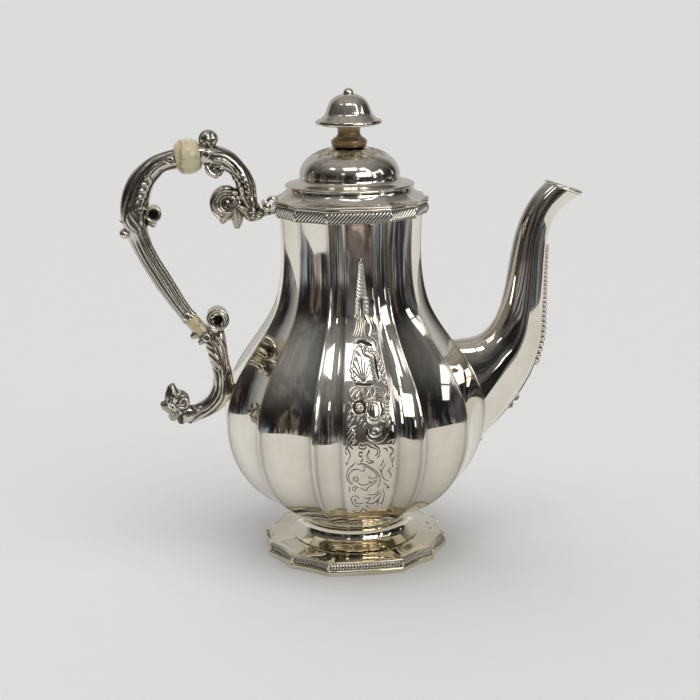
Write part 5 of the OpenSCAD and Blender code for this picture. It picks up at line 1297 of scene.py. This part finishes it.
made = Shells()
for lo, hi in ((-7.7, -3.3), (3.3, 7.7)):
    made.tube(turned(knuckle(lo, hi), 40, HINGE), closed=True)
    block = np.array([[[x, y, z] for x, y in ((-49.3, lo + .05), (-45.9, lo + .05), (-45.9, hi - .05),
                                              (-49.3, hi - .05))] for z in (203.22, 203.5, 204.4)])
    block[0, :, :2] = block[0, :, :2].mean(0) + (block[0, :, :2] - block[0, :, :2].mean(0)) * 0.96
    made.tube(block)
made.make("hinge_knuckles", SILVER, "hinge_body_knuckles", sharp=40)
made = Shells()
made.tube(turned(knuckle(-3, 3), 40, HINGE), closed=True)
strap = np.array([[[x, y * w, z] for y, z in ((-1, z0), (1, z0), (1, z1 - .25), (.88, z1), (-.88, z1),
                                              (-1, z1 - .25))] for x, w, z0, z1 in ((-47.6, 2.9, 206.8, 209.0),
                                                                                    (-46.6, 2.95, 207.3, 210.2),
                                                                                    (-45.4, 3.0, 209.3, 210.75),
                                                                                    (-43.4, 2.8, 209.55, 210.8),
                                                                                    (-41.8, 2.2, 209.6, 210.7),
                                                                                    (-41.3, 1.4, 209.7,
                                                                                     210.5))])
made.tube(strap)
made.make("lid_hinge_strap", SILVER, "lid_hinge_leaf", "lid", sharp=40)
head = [[0.03, 8.4], [0.8, 8.35], [1.35, 8.15], [1.6, 7.85], [1.55, 7.72], [1.0, 7.7]]
solid("hinge_pin_domed", turned(both_ways(head), 32, HINGE), SILVER, "hinge_pin", sharp=60)

# ---------------------------------------------------------------- CAD nodes that keep their shape
SHOWN = {"ivory": IVORY, "ivory_amber": AMBER, "silver": SILVER, "cast_silver": CAST, "rod_silver": SILVER}
slots = {p["node"]: p["material_slot"] for p in frame["record"]["subparts"]}
for name, made in frame["nodes"].items():
    made.data.materials.clear()
    made.data.materials.append(SHOWN[slots[name]])

# ---------------------------------------------------------------- stage and light


def stage_material(name, color):
    material, tree, shader = new_material(name)
    coords = node(tree, "ShaderNodeTexCoord").outputs["Object"]
    tone = ramp(tree, noise(tree, coords, 60, 4, 0.6), [(0.3, tuple(0.985 * c for c in color)), (0.7, color)])
    tree.links.new(tone, shader.inputs["Base Color"])
    shader.inputs["Roughness"].default_value = 0.9
    shader.inputs["Specular IOR Level"].default_value = 0.1
    return material


def stage_plane(name, corners, faces, material):
    """A flat part of the stage."""
    mesh = bpy.data.meshes.new(name)
    mesh.from_pydata(corners, [], faces)
    mesh.materials.append(material)
    made = bpy.data.objects.new(name, mesh)
    bpy.context.scene.collection.objects.link(made)
    return made


# Silver mirrors the white table below the pot's middle, and the darker room above it. The floor beyond the
# table is as white, but the silver doesn't mirror it.
paper = stage_material("white_paper", (0.78, 0.78, 0.775))
plan = [(-0.9, -0.42), (0.5, -0.48), (0.68, -0.26), (0.8, 0.1), (1.4, 1.6), (-1.5, 1.6), (-0.95, 0.2)]
n = len(plan)
near, far = ([(k * x, k * y, 0) for x, y in plan] for k in (1, 60))
stage_plane("table", near, [list(range(n))], paper)
floor = stage_plane("floor", near + far, [[i, n + i, n + (i + 1) % n, (i + 1) % n] for i in range(n)], paper)
floor.visible_glossy = False


def facing(azimuth, elevation):
    a, e = math.radians(azimuth), math.radians(elevation)
    return Vector((math.cos(a) * math.cos(e), math.sin(a) * math.cos(e), math.sin(e)))


def sun(name, energy, size, azimuth, elevation):
    """A wide soft light that isn't mirrored in the silver."""
    light = bpy.data.lights.new(name, "SUN")
    light.energy, light.angle = energy, math.radians(size)
    made = bpy.data.objects.new(name, light)
    made.rotation_euler = facing(azimuth, elevation).to_track_quat("Z", "Y").to_euler()
    made.visible_glossy = False
    bpy.context.scene.collection.objects.link(made)


POT_MIDDLE, WINDOW_AWAY = Vector((0, 0, 0.12)), 2.0
PANE_WIDE, PANE_TALL = 0.86, 0.88  # the glazing bars take the rest


def window(name, azimuth, elevation, width, height, bright, panes=(1, 1), color=(1, 1, 1)):
    """Panes of one brightness, width by height degrees across in all, that shine in the silver alone."""
    way = facing(azimuth, elevation)
    turn = way.to_track_quat("Z", "Y")
    wide, tall = (2 * WINDOW_AWAY * math.tan(math.radians(v / 2)) for v in (width, height))
    for i in range(panes[0]):
        for j in range(panes[1]):
            light = bpy.data.lights.new(name, "AREA")
            light.shape = "RECTANGLE"
            light.size, light.size_y = PANE_WIDE * wide / panes[0], PANE_TALL * tall / panes[1]
            light.energy = bright * math.pi * light.size * light.size_y
            light.color = color
            made = bpy.data.objects.new(name, light)
            shift = Vector(((i + 0.5) * wide / panes[0] - wide / 2, (j + 0.5) * tall / panes[1] - tall / 2, 0))
            made.location = POT_MIDDLE + way * WINDOW_AWAY + turn @ shift
            made.rotation_euler = turn.to_euler()
            made.visible_diffuse = False
            bpy.context.scene.collection.objects.link(made)


sun("key", 1.27, 60, -60, 60)
sun("fill", 1.12, 80, 150, 65)
window("window_right", -62, 25, 32, 22, 4.5, (3, 1), (1.0, 0.98, 0.95))
window("window_top", -94, 57, 24, 14, 3.6, (2, 1), (0.97, 0.98, 1.0))
window("window_high", -55, 52, 13, 12, 3)
window("window_left", -150, 52, 12, 10, 1.6)
window("window_spout", 20, 9, 5, 12, 0.85)
window("window_side", -25, 28, 12, 9, 1.6, (2, 1))
window("window_far", -37, 18, 6.5, 24, 3.2, (1, 2), (0.98, 0.99, 1.0))
window("window_east", -14, 24, 6, 22, 2.0, (1, 2))
window("window_low", -78, 7, 2.4, 8, 2.6)
window("window_tall", -46, 38, 7, 20, 2.6, (1, 2))
window("window_small", -112, 30, 5, 8, 2.4)

# the room that the silver mirrors: dark round the horizon and paler overhead, broken by streaks and shards
world = bpy.data.worlds.new("room")
bpy.context.scene.world = world
world.use_nodes = True
tree = world.node_tree
sky = tree.nodes["Background"]
coords = node(tree, "ShaderNodeTexCoord").outputs["Generated"]
split = node(tree, "ShaderNodeSeparateXYZ")
tree.links.new(coords, split.inputs[0])
lift = math_node(tree, "ADD", math_node(tree, "MULTIPLY", split.outputs[2], 0.5), 0.5)
tone = ramp(tree, lift, [(0.3, 0.07), (0.413, 0.045), (0.448, 0.045), (0.5, 0.03), (0.604, 0.042),
                         (0.67, 0.055), (0.75, 0.10), (0.854, 0.2), (0.933, 0.3), (1.0, 0.36)])
clutter = noise(tree, coords, 8, 5, 0.62, (1, 1, 0.12))
dapple = ramp(tree, clutter, [(0.44, 0.4), (0.475, 0.75), (0.5, 0.85), (0.515, 1.7), (0.57, 3.0)])
shards = ramp(tree, noise(tree, coords, 26, 2, 0.5, (1, 1, 0.07)), [(0.48, 0.7), (0.5, 1), (0.53, 3.6)])
near = ramp(tree, lift, [(0.41, 0.45), (0.462, 1), (0.475, 1), (0.515, 0)])
dapple = mix(tree, 1.0, dapple, mix(tree, near, (1, 1, 1), shards), "MULTIPLY")
hues = noise(tree, coords, 3.1, 2, 0.5, (1, 1, 0.3))
tint = ramp(tree, hues, [(0.42, (1.16, 0.95, 0.84)), (0.58, (0.87, 0.98, 1.14))])
calm = ramp(tree, lift, [(0.62, 0), (0.72, 0.85)])  # the streaks and colours fade out overhead
dapple, tint = (mix(tree, calm, value, (1, 1, 1)) for value in (dapple, tint))
room = mix(tree, 1.0, mix(tree, 1.0, tone, dapple, "MULTIPLY"), tint, "MULTIPLY")
# behind the pot the room is a plain pale wall, and the camera sees the sky as one even grey
behind = ramp(tree, split.outputs[1], [(0.5, 0), (0.75, 1)])
seen = node(tree, "ShaderNodeLightPath").outputs["Is Camera Ray"]
color = mix(tree, seen, mix(tree, behind, room, (0.5, 0.5, 0.495)), (0.63, 0.63, 0.615))
tree.links.new(color, sky.inputs["Color"])
sky.inputs["Strength"].default_value = 1.0

bpy.context.scene.view_settings.view_transform = "Standard"

bpy.context.view_layer.update()
